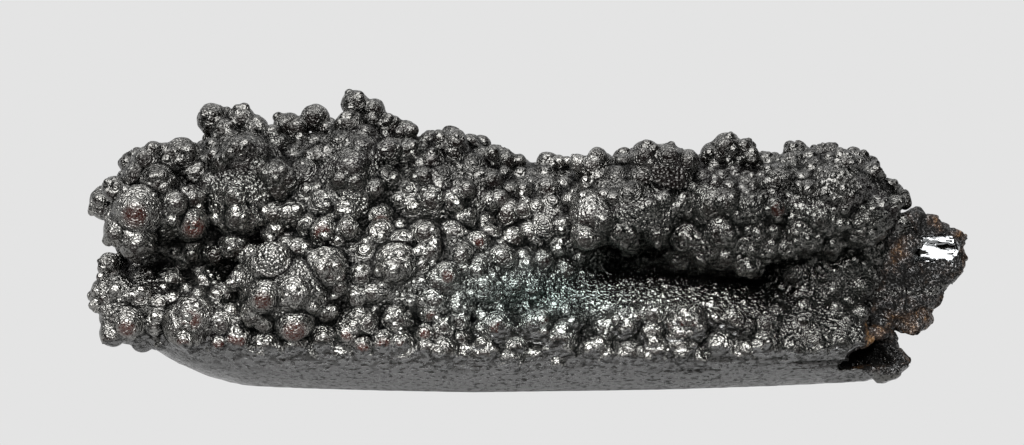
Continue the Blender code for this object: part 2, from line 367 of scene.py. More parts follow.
@dataclass(frozen=True)
class Mass:
    """A rounded mass of the rough form: its middle, its half sizes, and its lean to the right."""

    middle: Triple
    radii: Triple
    lean: float = 0.0

    def add_to(self, bm: BMesh) -> None:
        """Adds the mass to bm.

        Args:
            bm: The bmesh, in millimetres.
        """
        place = (
            Matrix.Translation(self.middle)
            @ Matrix.Rotation(math.radians(self.lean), 4, "Y")
            @ Matrix.Diagonal((*self.radii, 1.0))
        )
        bmesh.ops.create_icosphere(bm, subdivisions=4, radius=1.0, matrix=place)

    def distance(self, points: np.ndarray) -> np.ndarray:
        """About how far each point is from the mass's surface.

        Args:
            points: The points in millimetres, one per row.

        Returns:
            The distances in millimetres.
        """
        turn = np.array(Matrix.Rotation(math.radians(self.lean), 3, "Y"))
        local = ((points - np.array(self.middle)) @ turn) / np.array(self.radii)
        reach = np.linalg.norm(local, axis=1)
        slope = np.linalg.norm(local / np.array(self.radii), axis=1) / np.maximum(reach, TINY)
        return np.abs(reach - 1) / np.maximum(slope, TINY)


@dataclass(frozen=True)
class Slab:
    """A broken piece: its outline on the front, and the y of its near and far face at left and right."""

    outline: tuple[Pair, ...]
    near: Pair
    far: Pair

    def add_to(self, bm: BMesh, sight: Sight) -> None:
        """Adds the piece to bm: its outline as the eye sees it, carried from the near face to the far.

        Args:
            bm: The bmesh, in millimetres.
            sight: The eye.
        """
        left = min(x for x, _ in self.outline)
        right = max(x for x, _ in self.outline)
        corners = []
        for x, height in self.outline:
            front = sight.front_point(x, height)
            toward_eye = (sight.eye() - front).normalized()
            share = (x - left) / (right - left)
            near_far = [at_left + (at_right - at_left) * share for at_left, at_right in (self.near, self.far)]
            corners.append([front + toward_eye * ((front.y - y) / -toward_eye.y) for y in near_far])
        rings = [[bm.verts.new(pair[side]) for pair in corners] for side in range(2)]
        near_face = bm.faces.new(rings[0])
        far_face = bm.faces.new(rings[1])
        edges = list(near_face.edges) + list(far_face.edges)
        walls = bmesh.ops.bridge_loops(bm, edges=edges)["faces"]
        bmesh.ops.recalc_face_normals(bm, faces=[near_face, far_face, *walls])


@dataclass(frozen=True)
class LowerShell:
    """The smooth shell under the crust, as rings of x, middle height, half depth and half height."""

    rings: tuple[tuple[float, float, float, float], ...] = (
        (-68, 9.5, 13, 4.6),
        (-64, 9.0, 17, 6.4),
        (-58, 8.2, 20, 8.2),
        (-50, 7.0, 21, 9.2),
        (-38, 6.8, 22, 10.2),
        (-26, 6.4, 22.5, 10.8),
        (-10, 5.5, 23, 11.0),
        (25, 6.4, 21.5, 10.6),
        (50, 7.2, 19, 9.4),
        (60, 7.4, 17.5, 8.6),
    )
    middle_y: float = -1.0
    sides: int = 40
    # the long layers of the right part, and where and how high up their grooves show
    layer_height: float = 1.5
    layer_length: float = 26.0
    layer_depth: float = 0.35
    layers_along: Pair = (5.0, 50.0)
    groove_heights: Pair = (1.5, 4.0)
    groove_edges: Pair = (0.02, 0.3)
    # the dull specks, drawn out along the shell
    speck: float = 0.8
    speck_length: float = 2.2
    speck_heights: Pair = (2.0, 7.5)
    speck_edges: Pair = (0.05, 0.32)
    speck_darkness: float = 0.9
    wave: float = 2.2
    wave_height: float = 0.1

    def add_to(self, bm: BMesh) -> None:
        """Adds the shell to bm: each ring is a circle, and bridges join it to the next.

        Args:
            bm: The bmesh, in millimetres.
        """
        circles = []
        for x, middle_z, half_depth, half_height in self.rings:
            place = (
                Matrix.Translation((x, self.middle_y, middle_z))
                @ Matrix.Diagonal((1.0, half_depth, half_height, 1.0))
                @ Matrix.Rotation(math.radians(90), 4, "Y")
            )
            circle = bmesh.ops.create_circle(bm, segments=self.sides, radius=1.0, matrix=place)
            circles.append(circle["verts"])
        edges = [[edge for edge in bm.edges if edge.verts[0] in ring and edge.verts[1] in ring]
                 for ring in (set(circle) for circle in circles)]
        walls = []
        for ring, following in zip(edges, edges[1:]):
            walls += bmesh.ops.bridge_loops(bm, edges=ring + following)["faces"]
        ends = bmesh.ops.holes_fill(bm, edges=edges[0] + edges[-1], sides=0)["faces"]
        bmesh.ops.recalc_face_normals(bm, faces=walls + ends)

    def distance(self, points: np.ndarray) -> np.ndarray:
        """About how far each point is from the shell's surface.

        Args:
            points: The points in millimetres, one per row.

        Returns:
            The distances in millimetres.
        """
        places, middles, depths, heights = np.array(self.rings, float).T
        middle_z = np.interp(points[:, 0], places, middles)
        half_depth = np.interp(points[:, 0], places, depths)
        half_height = np.interp(points[:, 0], places, heights)
        reach = np.hypot((points[:, 1] - self.middle_y) / half_depth, (points[:, 2] - middle_z) / half_height)
        return np.abs(reach - 1) * half_height

    def grooves(self, points: np.ndarray) -> np.ndarray:
        """How far each point lies in a groove between the long layers of the shell's right part.

        Args:
            points: The points in millimetres, one per row.

        Returns:
            One value per point, from 0 to 1 in the groove.
        """
        long_grain = np.array((self.layer_length, self.layer_length, self.layer_height))
        layers = noise_of(points / long_grain, 1.0, 3)
        along, upward = points[:, 0], points[:, 2]
        share = smooth_step(*self.layers_along, along) * smooth_step(*self.groove_heights, upward)
        return smooth_step(*self.groove_edges, layers) * share

    def speckles(self, points: np.ndarray) -> np.ndarray:
        """How dark the dull specks under the crust make each point.

        Args:
            points: The points in millimetres, one per row.

        Returns:
            One value per point, from 0 to the specks' darkness.
        """
        specks = noise_of(points / np.array((self.speck_length, 1.0, 1.0)), self.speck, 2)
        share = self.speck_darkness * smooth_step(*self.speck_heights, points[:, 2])
        return smooth_step(*self.speck_edges, specks) * share

    def relief(self, points: np.ndarray) -> np.ndarray:
        """The grooves and the faint waves of the shell, as heights in millimetres."""
        return self.wave_height * noise_of(points, self.wave, 2) - self.layer_depth * self.grooves(points)


@dataclass(frozen=True)
class BrokenEnd:
    """The right end, where the specimen broke off: a plate above and the open shell below."""

    plate: Slab = Slab(
        (
            (54, 12), (54, 25), (63, 29), (68, 31.4), (70, 32.2), (71, 32), (72.5, 30.6), (73.5, 31.2),
            (74, 30), (76.5, 29.3), (78, 28.3), (80, 27.4), (78.4, 25.5), (79.4, 23.6), (79.5, 21.7),
            (77.5, 19.5), (75, 17.5), (74, 16), (73, 15), (73, 12), (71.5, 11), (69.5, 10.5), (67, 10.8),
            (65.5, 11.6), (62, 11),
        ),
        near=(-8.0, -3.0),
        far=(9.0, 3.0),
    )
    shell_end: Slab = Slab(
        (
            (54, 10.5), (60, 11.2), (65, 10.4), (67.5, 7.4), (69.5, 4.3), (66.4, 1.2), (64.6, 1.4),
            (64.2, 2.2), (61.5, 1.2), (54, 0.8),
        ),
        near=(-15.0, -13.0),
        far=(10.0, 0.0),
    )
    hollow: Slab = Slab(
        (
            (55.8, 3.2), (57.6, 4.8), (58.2, 6.6), (60, 7.6), (61.6, 7.6), (63, 9.0), (65.4, 9.4),
            (76, 9.4), (76, 4.4), (69.5, 4.4), (67, 3.4), (64.5, 3.9), (61, 3.6),
        ),
        near=(-40.0, -40.0),
        far=(-6.0, -7.0),
    )
    hollow_deep: Mass = Mass((57.0, -7.0, 6.2), (7.0, 8.0, 3.2))
    break_from: float = 62.0
    inside_from: float = 55.0
    grain: float = 3.0
    relief_height: float = 1.2
    # the bright facet, its ragged edge, and its terraces
    mirror_middle: Pair = (74.6, 25.6)
    mirror_half: Pair = (4.0, 3.0)
    mirror_edge: float = 0.1
    raggedness: float = 0.3
    rag: float = 1.6
    terrace_height: float = 3.2
    terrace_slope: float = 0.5
    terrace_tilt: float = 0.12
    facet_turn: float = 0.19
    # the blocks and grains of the rest
    block: float = 2.6
    block_height: float = 0.45
    fine_grain: float = 1.0
    fine_height: float = 0.3
    # the x, height, reach and strength of the ochre places
    ochre_spots: tuple[tuple[float, float, float, float], ...] = (
        (67.5, 25.0, 3.0, 0.45), (66.5, 22.5, 2.0, 0.4), (79.0, 27.2, 1.5, 0.6), (74.5, 30.6, 1.6, 0.45),
        (68.0, 11.5, 3.4, 0.5), (72.0, 12.6, 2.8, 0.5), (62.0, 9.6, 2.4, 0.8), (65.0, 14.0, 2.4, 0.3),
        (60.0, 3.4, 2.0, 0.4), (78.4, 20.5, 1.6, 0.4), (75.6, 16.6, 1.4, 0.45),
    )

    def add_to(self, bm: BMesh, sight: Sight) -> None:
        """Adds the plate and the shell's end to bm."""
        self.plate.add_to(bm, sight)
        self.shell_end.add_to(bm, sight)

    def cutters(self, sight: Sight) -> Iterator[Object]:
        """Makes the two helpers that hollow the shell's end.

        Args:
            sight: The eye.

        Returns:
            The helpers, one by one.
        """
        opening, deep = bmesh.new(), bmesh.new()
        self.hollow.add_to(opening, sight)
        self.hollow_deep.add_to(deep)
        for name, bm in (("hollow", opening), ("hollow_deep", deep)):
            bmesh.ops.scale(bm, verts=bm.verts[:], vec=(MM, MM, MM))
            yield new_object(name, mesh_from(name, bm))

    def roughened(self, points: np.ndarray) -> np.ndarray:
        """How far the uneven break moves each point, as rows in millimetres.

        Args:
            points: The points in millimetres, one per row.

        Returns:
            The way that each moves, zero left of the break.
        """
        share = np.clip(points[:, 0] - self.break_from, 0.0, 1.0)
        moved = np.zeros_like(points)
        for index in np.flatnonzero(share):
            moved[index] = noise.noise_vector(points[index] / self.grain)
        return moved * (self.relief_height * share)[:, None]

    def relief(self, points: np.ndarray) -> np.ndarray:
        """The blocks of the break and the grains on them, as heights in millimetres.

        Args:
            points: The points in millimetres, one per row.

        Returns:
            The heights.
        """
        middles = [noise.voronoi(place)[1][0] for place in (points / self.block).tolist()]
        blocks = np.array([noise.cell(middle) for middle in middles])
        grains = np.array([noise.voronoi(place)[0][0] for place in (points / self.fine_grain).tolist()])
        return self.block_height * blocks + self.fine_height * grains

    def terraces(self, seen: np.ndarray) -> np.ndarray:
        """How far the bright facet steps back at each point, so that each step leans back to the light.

        Args:
            seen: The x and height that the eye sees each point at.

        Returns:
            The ways back in millimetres.
        """
        rise = seen[:, 1] - self.mirror_middle[1] + self.mirror_half[1] + self.terrace_tilt * seen[:, 0]
        turned = self.facet_turn * (self.mirror_middle[0] - seen[:, 0])
        return self.terrace_slope * (rise % self.terrace_height) + turned

    def ochre_share(self, seen: np.ndarray) -> np.ndarray:
        """How much ochre the break shows at each point that the eye sees."""
        spots = [Spot((x, height), (reach, reach), share) for x, height, reach, share in self.ochre_spots]
        return np.max([spot.share(seen) for spot in spots], axis=0)

    def mirrored(self, points: np.ndarray, seen: np.ndarray) -> np.ndarray:
        """Whether each point lies on the bright facet of the plate, a rounded oblong with a ragged edge.

        Args:
            points: The points in millimetres, one per row.
            seen: The x and height that the eye sees each point at.

        Returns:
            True or false for each.
        """
        off = (seen - np.array(self.mirror_middle)) / np.array(self.mirror_half)
        inside = 1 - np.sqrt((off**4).sum(axis=1)) ** 0.5
        return inside + self.raggedness * noise_of(points, self.rag) > self.mirror_edge


@dataclass(frozen=True)
class CrustMasses:
    """The rounded masses that carry the crust, from the left head to the right lobe."""

    masses: tuple[Mass, ...] = (
        Mass((-67, 0, 31.6), (9.4, 15, 8.0)),
        Mass((-60, 4, 24), (15.5, 13, 14)),
        Mass((-33, 4, 29), (32, 16, 14.6)),
        Mass((-51.5, 3, 33), (11, 16, 12.2)),
        Mass((-32, 4, 33), (10, 17, 13.4)),
        Mass((-17, 4, 29), (17, 17, 14.2)),
        Mass((2, 4, 25), (16, 15, 13.2)),
        Mass((-22, -8, 18), (30, 13, 12)),
        Mass((-43, -15, 18), (9.5, 10, 8.5)),
        Mass((-69, -5, 13), (8.4, 13, 7.2)),
        Mass((-58, -9, 12), (9, 13, 7)),
        Mass((19, -2, 31.2), (13.5, 15, 8.0)),
        Mass((36, 0, 31), (14, 16, 8.6)),
        Mass((53, 1, 31), (14.5, 16, 9.2), 6),
        Mass((36, -7, 26), (12, 9, 6)),
        Mass((24, -4, 12), (34, 16, 6.5), 3),
        Mass((30, 10, 18), (34, 12, 12)),
        Mass((54, 4, 18), (13, 14, 12)),
    )

    def add_to(self, bm: BMesh) -> None:
        """Adds every mass to bm."""
        for mass in self.masses:
            mass.add_to(bm)

    def distance(self, points: np.ndarray) -> np.ndarray:
        """About how far each point is from the nearest mass's surface."""
        return np.min([mass.distance(points) for mass in self.masses], axis=0)


@dataclass(frozen=True)
class Druse:
    """The fine druse of the ledge: where the eye sees it, and the y that it ends in front of.

    clear is the share of it that keeps globules off, and full the share that has grains all over.
    """

    spot: Spot = Spot((16.0, 18.0), (28.0, 3.4))
    back: float = 4.0
    clear: float = 0.15
    full: float = 0.3

    def share(self, points: np.ndarray, sight: Sight) -> np.ndarray:
        """How much fine druse, in place of globules, the ledge shows at each point."""
        return self.spot.share(sight.read_back(points)) * (points[:, 1] < self.back)


@dataclass(frozen=True)
class Grains:
    """The grains, the smallest globules, which lie over all the others and mostly on the lobe and ledge."""

    radii: Pair = (0.6, 1.3)
    lobe_radii: Pair = (0.7, 1.4)
    ledge_radii: Pair = (0.5, 1.1)
    depth: float = 0.55
    spacing: float = 0.8
    # what share of the places takes one: everywhere, and on the lobe and the ledge
    share: float = 0.015
    full_share: float = 0.3
    # how low they lie on the front and on the back, and how far right, with only high ones in the break
    front_floor: float = 10.5
    back_floor: float = 14.0
    break_from: float = 62.0
    break_floor: float = 28.0
    right_limit: float = 68.0
    # the lobe, whose lower edge rises to the right
    lobe_left: float = 36.0
    lobe_bottom: float = 20.0
    lobe_rise: float = 0.05
    lobe_rises_from: float = 9.0

    def on_lobe(self, place: Vector) -> bool:
        """Whether a place lies on the lobe."""
        edge = self.lobe_bottom + self.lobe_rise * (place.x - self.lobe_rises_from)
        return place.x > self.lobe_left and place.z > edge

    def missing(self, place: Vector) -> bool:
        """Whether a place lies too low on the form, or too far into the break, to have grains.

        Args:
            place: The place in millimetres.

        Returns:
            True where there are none.
        """
        floor = self.front_floor if place.y < 0 else self.back_floor
        in_break = place.x > self.break_from and place.z < self.break_floor
        return place.z < floor or place.x > self.right_limit or in_break

    def over(self, growth: Mesh, druse: Druse, sight: Sight) -> list[Globule]:
        """Sprinkles grains over a skin.

        Args:
            growth: A coarse skin of all that has grown, in metres.
            druse: The druse of the ledge.
            sight: The eye that sees it.

        Returns:
            The grains, with no two too close together.
        """
        chance = random.Random(SEED)
        points = array_of(growth, "vertices", "co") / MM
        normals = array_of(growth, "vertices", "normal")
        on_ledge = druse.share(points, sight) > druse.full
        order = list(range(len(points)))
        chance.shuffle(order)
        cell = 2 * self.radii[1]
        filled: dict[tuple[int, ...], list[tuple[Vector, float]]] = defaultdict(list)
        grains = []
        for index in order:
            place, normal = Vector(points[index]), Vector(normals[index])
            if self.missing(place):
                continue
            on_lobe = self.on_lobe(place)
            if chance.random() > (self.full_share if on_lobe or on_ledge[index] else self.share):
                continue
            sizes = self.lobe_radii if on_lobe else self.ledge_radii if on_ledge[index] else self.radii
            radius = chance.uniform(*sizes)
            key = tuple(int(value // cell) for value in place)
            around = (
                other
                for step in itertools.product((-1, 0, 1), repeat=3)
                for other in filled.get(tuple(map(operator.add, key, step)), ())
            )
            if any((place - other).length < self.spacing * (radius + size) for other, size in around):
                continue
            filled[key].append((place, radius))
            grains.append(Globule(place - normal * self.depth * radius, radius, normal, 0.0))
        return grains


@dataclass(frozen=True)
class GlobuleSurface:
    """What the surface of a globule is like, by its radius and the cosine of the angle from its tip."""

    peak_share: float = 0.16
    peak_radius: float = 4.0
    peak_cosines: Pair = (0.5, 1.0)
    relief_grain: float = 2.2
    relief_height: float = 0.2
    # the marks: wide swells have beads, which are missing low on the form, and the others growth steps
    iron_cosines: Pair = (0.8, 0.98)
    calm_cosines: Pair = (0.86, 0.98)
    calm_radii: Pair = (1.4, 2.2)
    stepped_radii: Pair = (1.4, 2.4)
    least_step: float = 0.35
    beaded_radii: Pair = (4.4, 5.2)
    even_heights: Pair = (6.0, 12.0)

    def peaks(self, radii: np.ndarray, cosine: np.ndarray) -> np.ndarray:
        """How high the blunt peak round the tip stands, in millimetres."""
        height = self.peak_share * np.minimum(radii, self.peak_radius)
        return height * smooth_step(*self.peak_cosines, cosine)

    def unevenness(self, points: np.ndarray) -> np.ndarray:
        """How high the small bumps stand at each point, in millimetres."""
        return self.relief_height * noise_of(points, self.relief_grain, 3)

    def marks(self, radii: np.ndarray, cosine: np.ndarray) -> dict[str, np.ndarray]:
        """Works out what the finish of the crust reads.

        Args:
            radii: The radius of the globule that each point lies on.
            cosine: The cosine of the angle between its tip and the point.

        Returns:
            ring, the way from the tip along the globule in millimetres; iron, where red iron can show; calm,
            one at the smooth tips, which the material also darkens with painted shade; step, how far the
            globule is large enough to show its growth steps; and bead, one where it is a wide swell.
        """
        wide = smooth_step(*self.beaded_radii, radii)
        stepped = smooth_step(*self.stepped_radii, radii)
        return {
            "ring": radii * np.arccos(cosine),
            "iron": smooth_step(*self.iron_cosines, cosine),
            "calm": smooth_step(*self.calm_cosines, cosine) * smooth_step(*self.calm_radii, radii),
            "step": (self.least_step + (1 - self.least_step) * stepped) * (1 - wide),
            "bead": wide,
        }


@dataclass
class GlobuleCrust:
    """The globules of the crust, from the swells that carry others down to the grains.

    Those read off the front are given as x, height and radius: the swells, the low ones where the row meets
    the shell, the large ones and the small ones between them. The others are laid by rules: buds on large
    globules, globules scattered over the rest of the form, and grains over them all.
    """

    swells: tuple[Triple, ...] = (
        # the left head and foot
        (-71.3, 31.0, 5.4), (-70.5, 38.5, 4.0), (-64.5, 39.5, 4.2), (-73.5, 13.0, 5.2), (-76.0, 17.5, 3.6),
        (-62.3, 11.0, 4.6), (-54.3, 11.0, 4.6),
        # the crown and the slope
        (-52.0, 41.5, 4.8), (-51.8, 31.8, 3.6), (-45.3, 31.0, 3.6), (-46.6, 37.5, 4.0), (-32.5, 39.5, 4.0),
        (-24.5, 41.8, 4.0), (-14.6, 43.0, 4.0), (-36.2, 26.8, 3.6), (-24.3, 22.4, 4.2), (-19.0, 26.8, 3.8),
        (-16.0, 19.6, 3.6), (-46.6, 22.5, 4.2), (-37.0, 21.2, 4.2), (-27.3, 30.0, 3.4),
        # the row along the shell
        (-31.0, 9.6, 5.0), (-24.0, 11.0, 4.4), (-16.4, 9.0, 5.6), (-6.4, 10.0, 4.6), (1.8, 9.6, 4.6),
        (7.0, 11.6, 4.6), (17.5, 11.0, 4.4), (23.2, 11.4, 4.4), (29.0, 10.4, 5.0), (37.8, 10.8, 3.8),
        # the right lobe
        (24.5, 38.0, 7.0), (12.4, 39.0, 4.6), (36.0, 41.0, 4.8), (34.0, 33.2, 4.6), (45.5, 34.5, 6.0),
        (56.5, 36.0, 5.6), (50.0, 28.5, 4.6), (60.5, 30.5, 4.6),
    )
    low: tuple[Triple, ...] = (
        (12.8, 7.0, 3.2), (18.4, 6.4, 2.6), (23.0, 6.8, 3.3), (30.2, 6.0, 2.6), (34.6, 7.6, 3.2),
        (39.4, 6.6, 2.4), (43.4, 7.6, 3.0), (48.6, 7.0, 2.3), (52.2, 8.0, 2.8), (57.2, 8.2, 2.2),
        (-48.0, 7.6, 2.6), (-42.6, 7.8, 2.4), (-37.6, 8.6, 2.6), (-10.6, 6.0, 2.4), (-3.4, 5.0, 2.4),
    )
    large: tuple[Triple, ...] = (
        # the left head
        (-77, 33.8, 3.2), (-74.8, 36, 2.9), (-75.2, 29, 2.6), (-71.3, 32.5, 4.4), (-71.5, 27, 3.4),
        (-69.8, 41.5, 2.8), (-67.8, 37.2, 3.3), (-63.3, 42.3, 3.1), (-66, 41.9, 2.9), (-61, 39, 3),
        (-62, 30.5, 3.6), (-61.5, 34.5, 2.4), (-57.5, 24.5, 2.2),
        # the crown and the saddle
        (-57.8, 49.2, 2.8), (-52.5, 49.1, 2.6), (-55.5, 46.5, 2.6), (-53, 43.5, 2.6), (-53.5, 35, 2.6),
        (-53.3, 31.3, 2.4), (-53.5, 26.5, 3.6), (-46.5, 32, 2.4), (-46.5, 28.5, 2.4), (-49.8, 47.2, 2.3),
        (-44.2, 47.8, 2.7), (-39, 49.3, 2.6), (-38.2, 42.3, 2.4), (-46.5, 39, 2.4), (-49.5, 40.5, 2.2),
        (-31.8, 51.8, 2.5), (-28.2, 50.8, 2.0), (-32.8, 48, 2.8), (-26, 48, 2.4), (-22.6, 46.6, 2.3),
        (-25.5, 43.2, 2.6), (-22, 43, 2.4), (-18.6, 44.6, 2.2), (-13.3, 44.8, 2.3), (-10.6, 44.4, 2.1),
        (-17.8, 41.2, 2.1), (-17.8, 34.2, 2.6), (-7, 37.8, 2.4), (3.3, 36.2, 2.2), (-3.8, 31.8, 2.8),
        (-8.4, 42.1, 2.0), (-4.2, 41.4, 2.0), (3.4, 41.2, 2.0), (9.2, 40.8, 2.0), (12.6, 41.8, 2.2),
        # the middle slope
        (-37.5, 28.5, 2.6), (-34, 27.5, 2.4), (-27, 31, 2.4), (-27, 28, 2.4), (-24.2, 22.8, 3.4),
        (-23, 26.5, 2.4), (-19, 28, 2.6), (-18.5, 24.5, 2.4), (-13.8, 28.3, 2.2), (-9.3, 26.6, 2.2),
        (-4.8, 23.8, 2.4), (-15, 20.8, 2.2), (2.5, 23, 2.2), (-3, 27, 2.2), (6.5, 21.5, 2.2),
        (-8.3, 18.3, 2.6), (0.3, 17.8, 2.0), (-30.5, 20.5, 2.0), (-31.5, 16.8, 2.0),
        # the swell of the front
        (-46.8, 23.5, 3.6), (-48.2, 16.8, 3), (-42.5, 25, 2.2), (-37.3, 21.8, 3.6), (-43, 17.5, 2.6),
        (-42.8, 12, 3.6), (-50, 14, 2.6), (-37.2, 14, 2.2), (-34.8, 18.8, 2.0), (-48.3, 12.2, 2.0),
        # the row along the shell
        (-33.2, 9.8, 2.0), (-30.4, 7.4, 2.3), (-26.6, 8.2, 2.2), (-23.4, 7.8, 2.2), (-24, 13, 2.4),
        (-15.4, 6.8, 3.0), (-12.6, 8.8, 2.0), (-18.4, 7.4, 2.0), (-15.6, 11.0, 2.0), (-17.3, 16, 3),
        (-17.8, 13.8, 2.2), (-13, 14.5, 2.9), (-12.8, 11.8, 2.2), (-5.8, 10.8, 2.8), (1.2, 11.2, 3.2),
        (6.3, 13.4, 3.5), (5.5, 8.6, 3.4), (-2.5, 7.5, 2.2), (-8, 6.5, 2.6), (14, 10.5, 2.4),
        (17.5, 12.5, 3.0), (22.5, 13.3, 2.9), (22.5, 10, 2.2), (28.8, 12.2, 3.6), (27.5, 7.5, 3),
        (37.3, 12.3, 2.2), (43.5, 11.2, 2.2), (50, 12, 2.0), (-29.3, 11.6, 2.2),
        # the left foot
        (-77, 16.5, 3), (-74.5, 17, 2.6), (-73, 11.8, 2.8), (-71, 16.5, 2.4), (-76, 10, 2.4),
        (-68, 12.5, 2.6), (-68, 9, 2.4), (-65.5, 19.5, 2.4), (-61.3, 13, 3.5), (-62.8, 9, 2.1),
        (-56.3, 11.8, 2.2), (-53.3, 9, 2.8), (-56.5, 8, 2.2), (-76.5, 22.6, 2.4), (-70.6, 8.4, 2.0),
        (-56, 17, 2.2),
        # the right lobe
        (12, 31.5, 4.8), (17.3, 28.6, 3.0), (10.8, 28, 2.8), (23.3, 28.3, 2.2), (35.2, 28.4, 3.2),
        (28.8, 27.5, 2.6), (36.3, 43.4, 3.2), (33.8, 42, 2.6), (39.3, 42.8, 2.4), (21.5, 42, 3.0),
        (25.5, 42, 2.6), (28.8, 41.2, 2.2), (20.5, 38, 2.6), (39.5, 23, 2.6), (62.5, 26, 3),
        (54.5, 42.6, 2.2), (58, 41, 2.0), (62.5, 38.8, 2.2), (65.6, 36.6, 2.0), (48, 41, 2.0),
        (68.4, 34.2, 1.7), (66, 33, 2.2), (36, 34, 2.2), (45, 33, 2.4), (53, 31, 2.2), (58, 35, 2.4),
        (28, 33.5, 2.4), (47, 26, 2.4), (55, 26, 2.2), (45.5, 38, 2.2), (51, 36, 2.0),
    )
    small: tuple[Triple, ...] = (
        # the left head
        (-68.6, 43.5, 1.6), (-64.5, 33.8, 2),
        # the crown and the saddle
        (-57.5, 42.5, 1.6), (-56, 41, 1.8), (-43.5, 31.8, 2.3), (-47, 46.3, 1.8), (-42.5, 47, 2.4),
        (-37, 47.5, 1.6), (-44, 38, 2.2), (-34.6, 38, 1.9), (-31.7, 37.6, 2.1), (-28.8, 48, 2.4),
        (-28.2, 36.3, 1.9), (-16.2, 45.5, 1.6), (-13.6, 42.7, 2), (-6.8, 42.6, 1.8), (-1.8, 41.4, 1.3),
        (-19, 38.5, 1.8), (-16.3, 37.2, 1.2), (-13.8, 34, 2), (-11.5, 36.2, 1.8), (-3.5, 36, 1.9),
        (-1, 36, 1.5), (-1, 32.5, 2), (-5.5, 34.5, 1.8), (5.3, 41, 1.5), (7, 41.2, 1.2), (12, 40.5, 2.4),
        # the middle slope
        (-33, 29, 2.2), (-19.5, 22.3, 1.8), (-12.5, 24, 1.9), (-7.2, 28, 2), (-12, 22, 1.6),
        (-9.5, 21.3, 1.6), (-0.5, 22.3, 1.7), (0, 28, 2), (9.5, 20, 1.6), (-2.5, 19, 1.9), (-6, 17, 2),
        (-28.7, 17.5, 1.9),
        # the row along the shell
        (-32, 11, 1.7), (-31, 13.2, 1.6), (-24.3, 11.2, 1.5), (-19, 10, 1.8), (-8.5, 13, 1.5),
        (-5.5, 14, 1.5), (-8.5, 8, 1.6), (5.2, 4.3, 1.6), (11, 7, 1.5), (17.4, 10, 1.2), (27.3, 9.5, 2),
        (31.2, 10.7, 1.3), (34, 12.5, 1.6),
        # the left foot
        (-67.5, 15.5, 1.8), (-64.8, 16, 1.7), (-54.5, 14, 1.6), (-57, 17, 1.6), (-54, 19, 1.5),
        (-59.5, 19.5, 1.6), (-61, 7, 1.4), (-78, 20.3, 1.2), (-61.5, 24.5, 1.7), (-64.7, 24.5, 1.2),
        (-69.5, 21, 0.9),
        # the right lobe
        (13.5, 35.2, 1.6), (15.5, 34.5, 1.3), (23.5, 26.5, 1.2), (39.3, 44, 1.7), (40.5, 42, 1.6),
        (34, 37.2, 1.4), (36.5, 36.8, 1.3), (12.8, 38.3, 1.8), (10.5, 37, 1.2), (17.5, 41, 2),
        (56.8, 42.5, 1.4), (53, 43, 1.6), (43.3, 41.8, 1.5), (50.5, 41.8, 1.5), (67.3, 35.5, 1.2),
        (60, 41, 1.3), (45.5, 21.8, 1.3), (36, 24, 2),
    )
    # the x and height of the globules with red tips, and how red they are
    rusty: tuple[Triple, ...] = (
        (-71.3, 32.5, 0.6), (-62, 30.5, 1.0), (-27, 31, 0.8), (-9.3, 26.6, 0.7), (-15, 20.8, 0.7),
        (-42.8, 12, 1.0), (-33.2, 9.8, 0.8), (-30.4, 7.4, 0.9), (-26.6, 8.2, 0.8), (-23.4, 7.8, 0.6),
        (-19, 10, 1.0), (-17.8, 13.8, 0.6), (-73, 11.8, 0.8), (-70.6, 8.4, 0.9), (-61.3, 13, 0.9),
        (-62.8, 9, 0.5), (-53.3, 9, 0.8), (-56.5, 8, 0.7), (-37.5, 28.5, 0.7), (-5.8, 10.8, 0.6),
        (1.2, 11.2, 0.5), (28.8, 12.2, 0.5), (17.5, 12.5, 0.4), (45, 33, 0.9), (-48.2, 16.8, 0.6),
        (-37.3, 21.8, 0.3),
    )
    # how deep each kind is seated, as a share of its radius
    seat_depth: float = 0.48
    swell_depth: float = 0.7
    small_depth: float = 0.5
    low_depth: float = 0.66
    seen_depth: float = 0.58
    unseen_depth: float = 0.4
    # the tips of the front keep some of the form's own direction and droop, and all have a little iron
    tip_keeps: float = 0.4
    tip_droop: float = 0.35
    plain_iron: float = 0.1
    unseen_iron: float = 0.2
    # the buds, which stand on large globules unless their tips are red
    bud_from: float = 2.3
    bud_iron_limit: float = 0.6
    bud_iron_share: float = 0.5
    bud_counts: tuple[int, ...] = (0, 3, 4, 5)
    bud_leans: Pair = (0.45, 1.1)
    bud_sizes: Pair = (0.36, 0.55)
    bud_depth: float = 0.6
    # the scattered globules: how rays are aimed at the form, and what lands where
    tries: int = 9000
    ray_start: float = 300.0
    ray_rises: Pair = (-0.1, 1.0)
    aims: tuple[Pair, ...] = ((-80, 72), (-22, 24), (6, 50))
    lift: float = 0.2
    least_facing: float = 0.1
    seen_radii: Pair = (1.6, 3.0)
    unseen_radii: Pair = (2.0, 4.0)
    seen_spacing: float = 0.8
    unseen_spacing: float = 0.85
    seen_floor: float = 10.5
    unseen_floor: float = 17.0
    right_limit: float = 62.0
    druse: Druse = Druse()
    grains: Grains = Grains()
    surface: GlobuleSurface = GlobuleSurface()
    # a globule as a ball: its subdivisions, more from each of two radii on, and its unevenness
    ball_details: tuple[int, ...] = (2, 3, 4)
    detail_radii: tuple[float, ...] = (0.95, 1.9)
    unevenness: float = 0.14
    # the farthest that a surface counts as near, and how far a globule can own it, as a share of its radius
    far: float = 9.0
    owned_reach: float = 1.25
    globules: list[Globule] = field(default_factory=list)

    def ball_hit(self, origin: Vector, direction: Vector, ball: Globule) -> float | None:
        """How far along a ray it meets a globule, or None.

        Args:
            origin: Where the ray starts.
            direction: Its direction, of length one.
            ball: The globule.

        Returns:
            The way along the ray in millimetres.
        """
        to_middle = ball.middle - origin
        along = to_middle.dot(direction)
        apart = to_middle.length_squared - along * along
        if apart > ball.radius * ball.radius:
            return None
        return along - math.sqrt(ball.radius * ball.radius - apart)

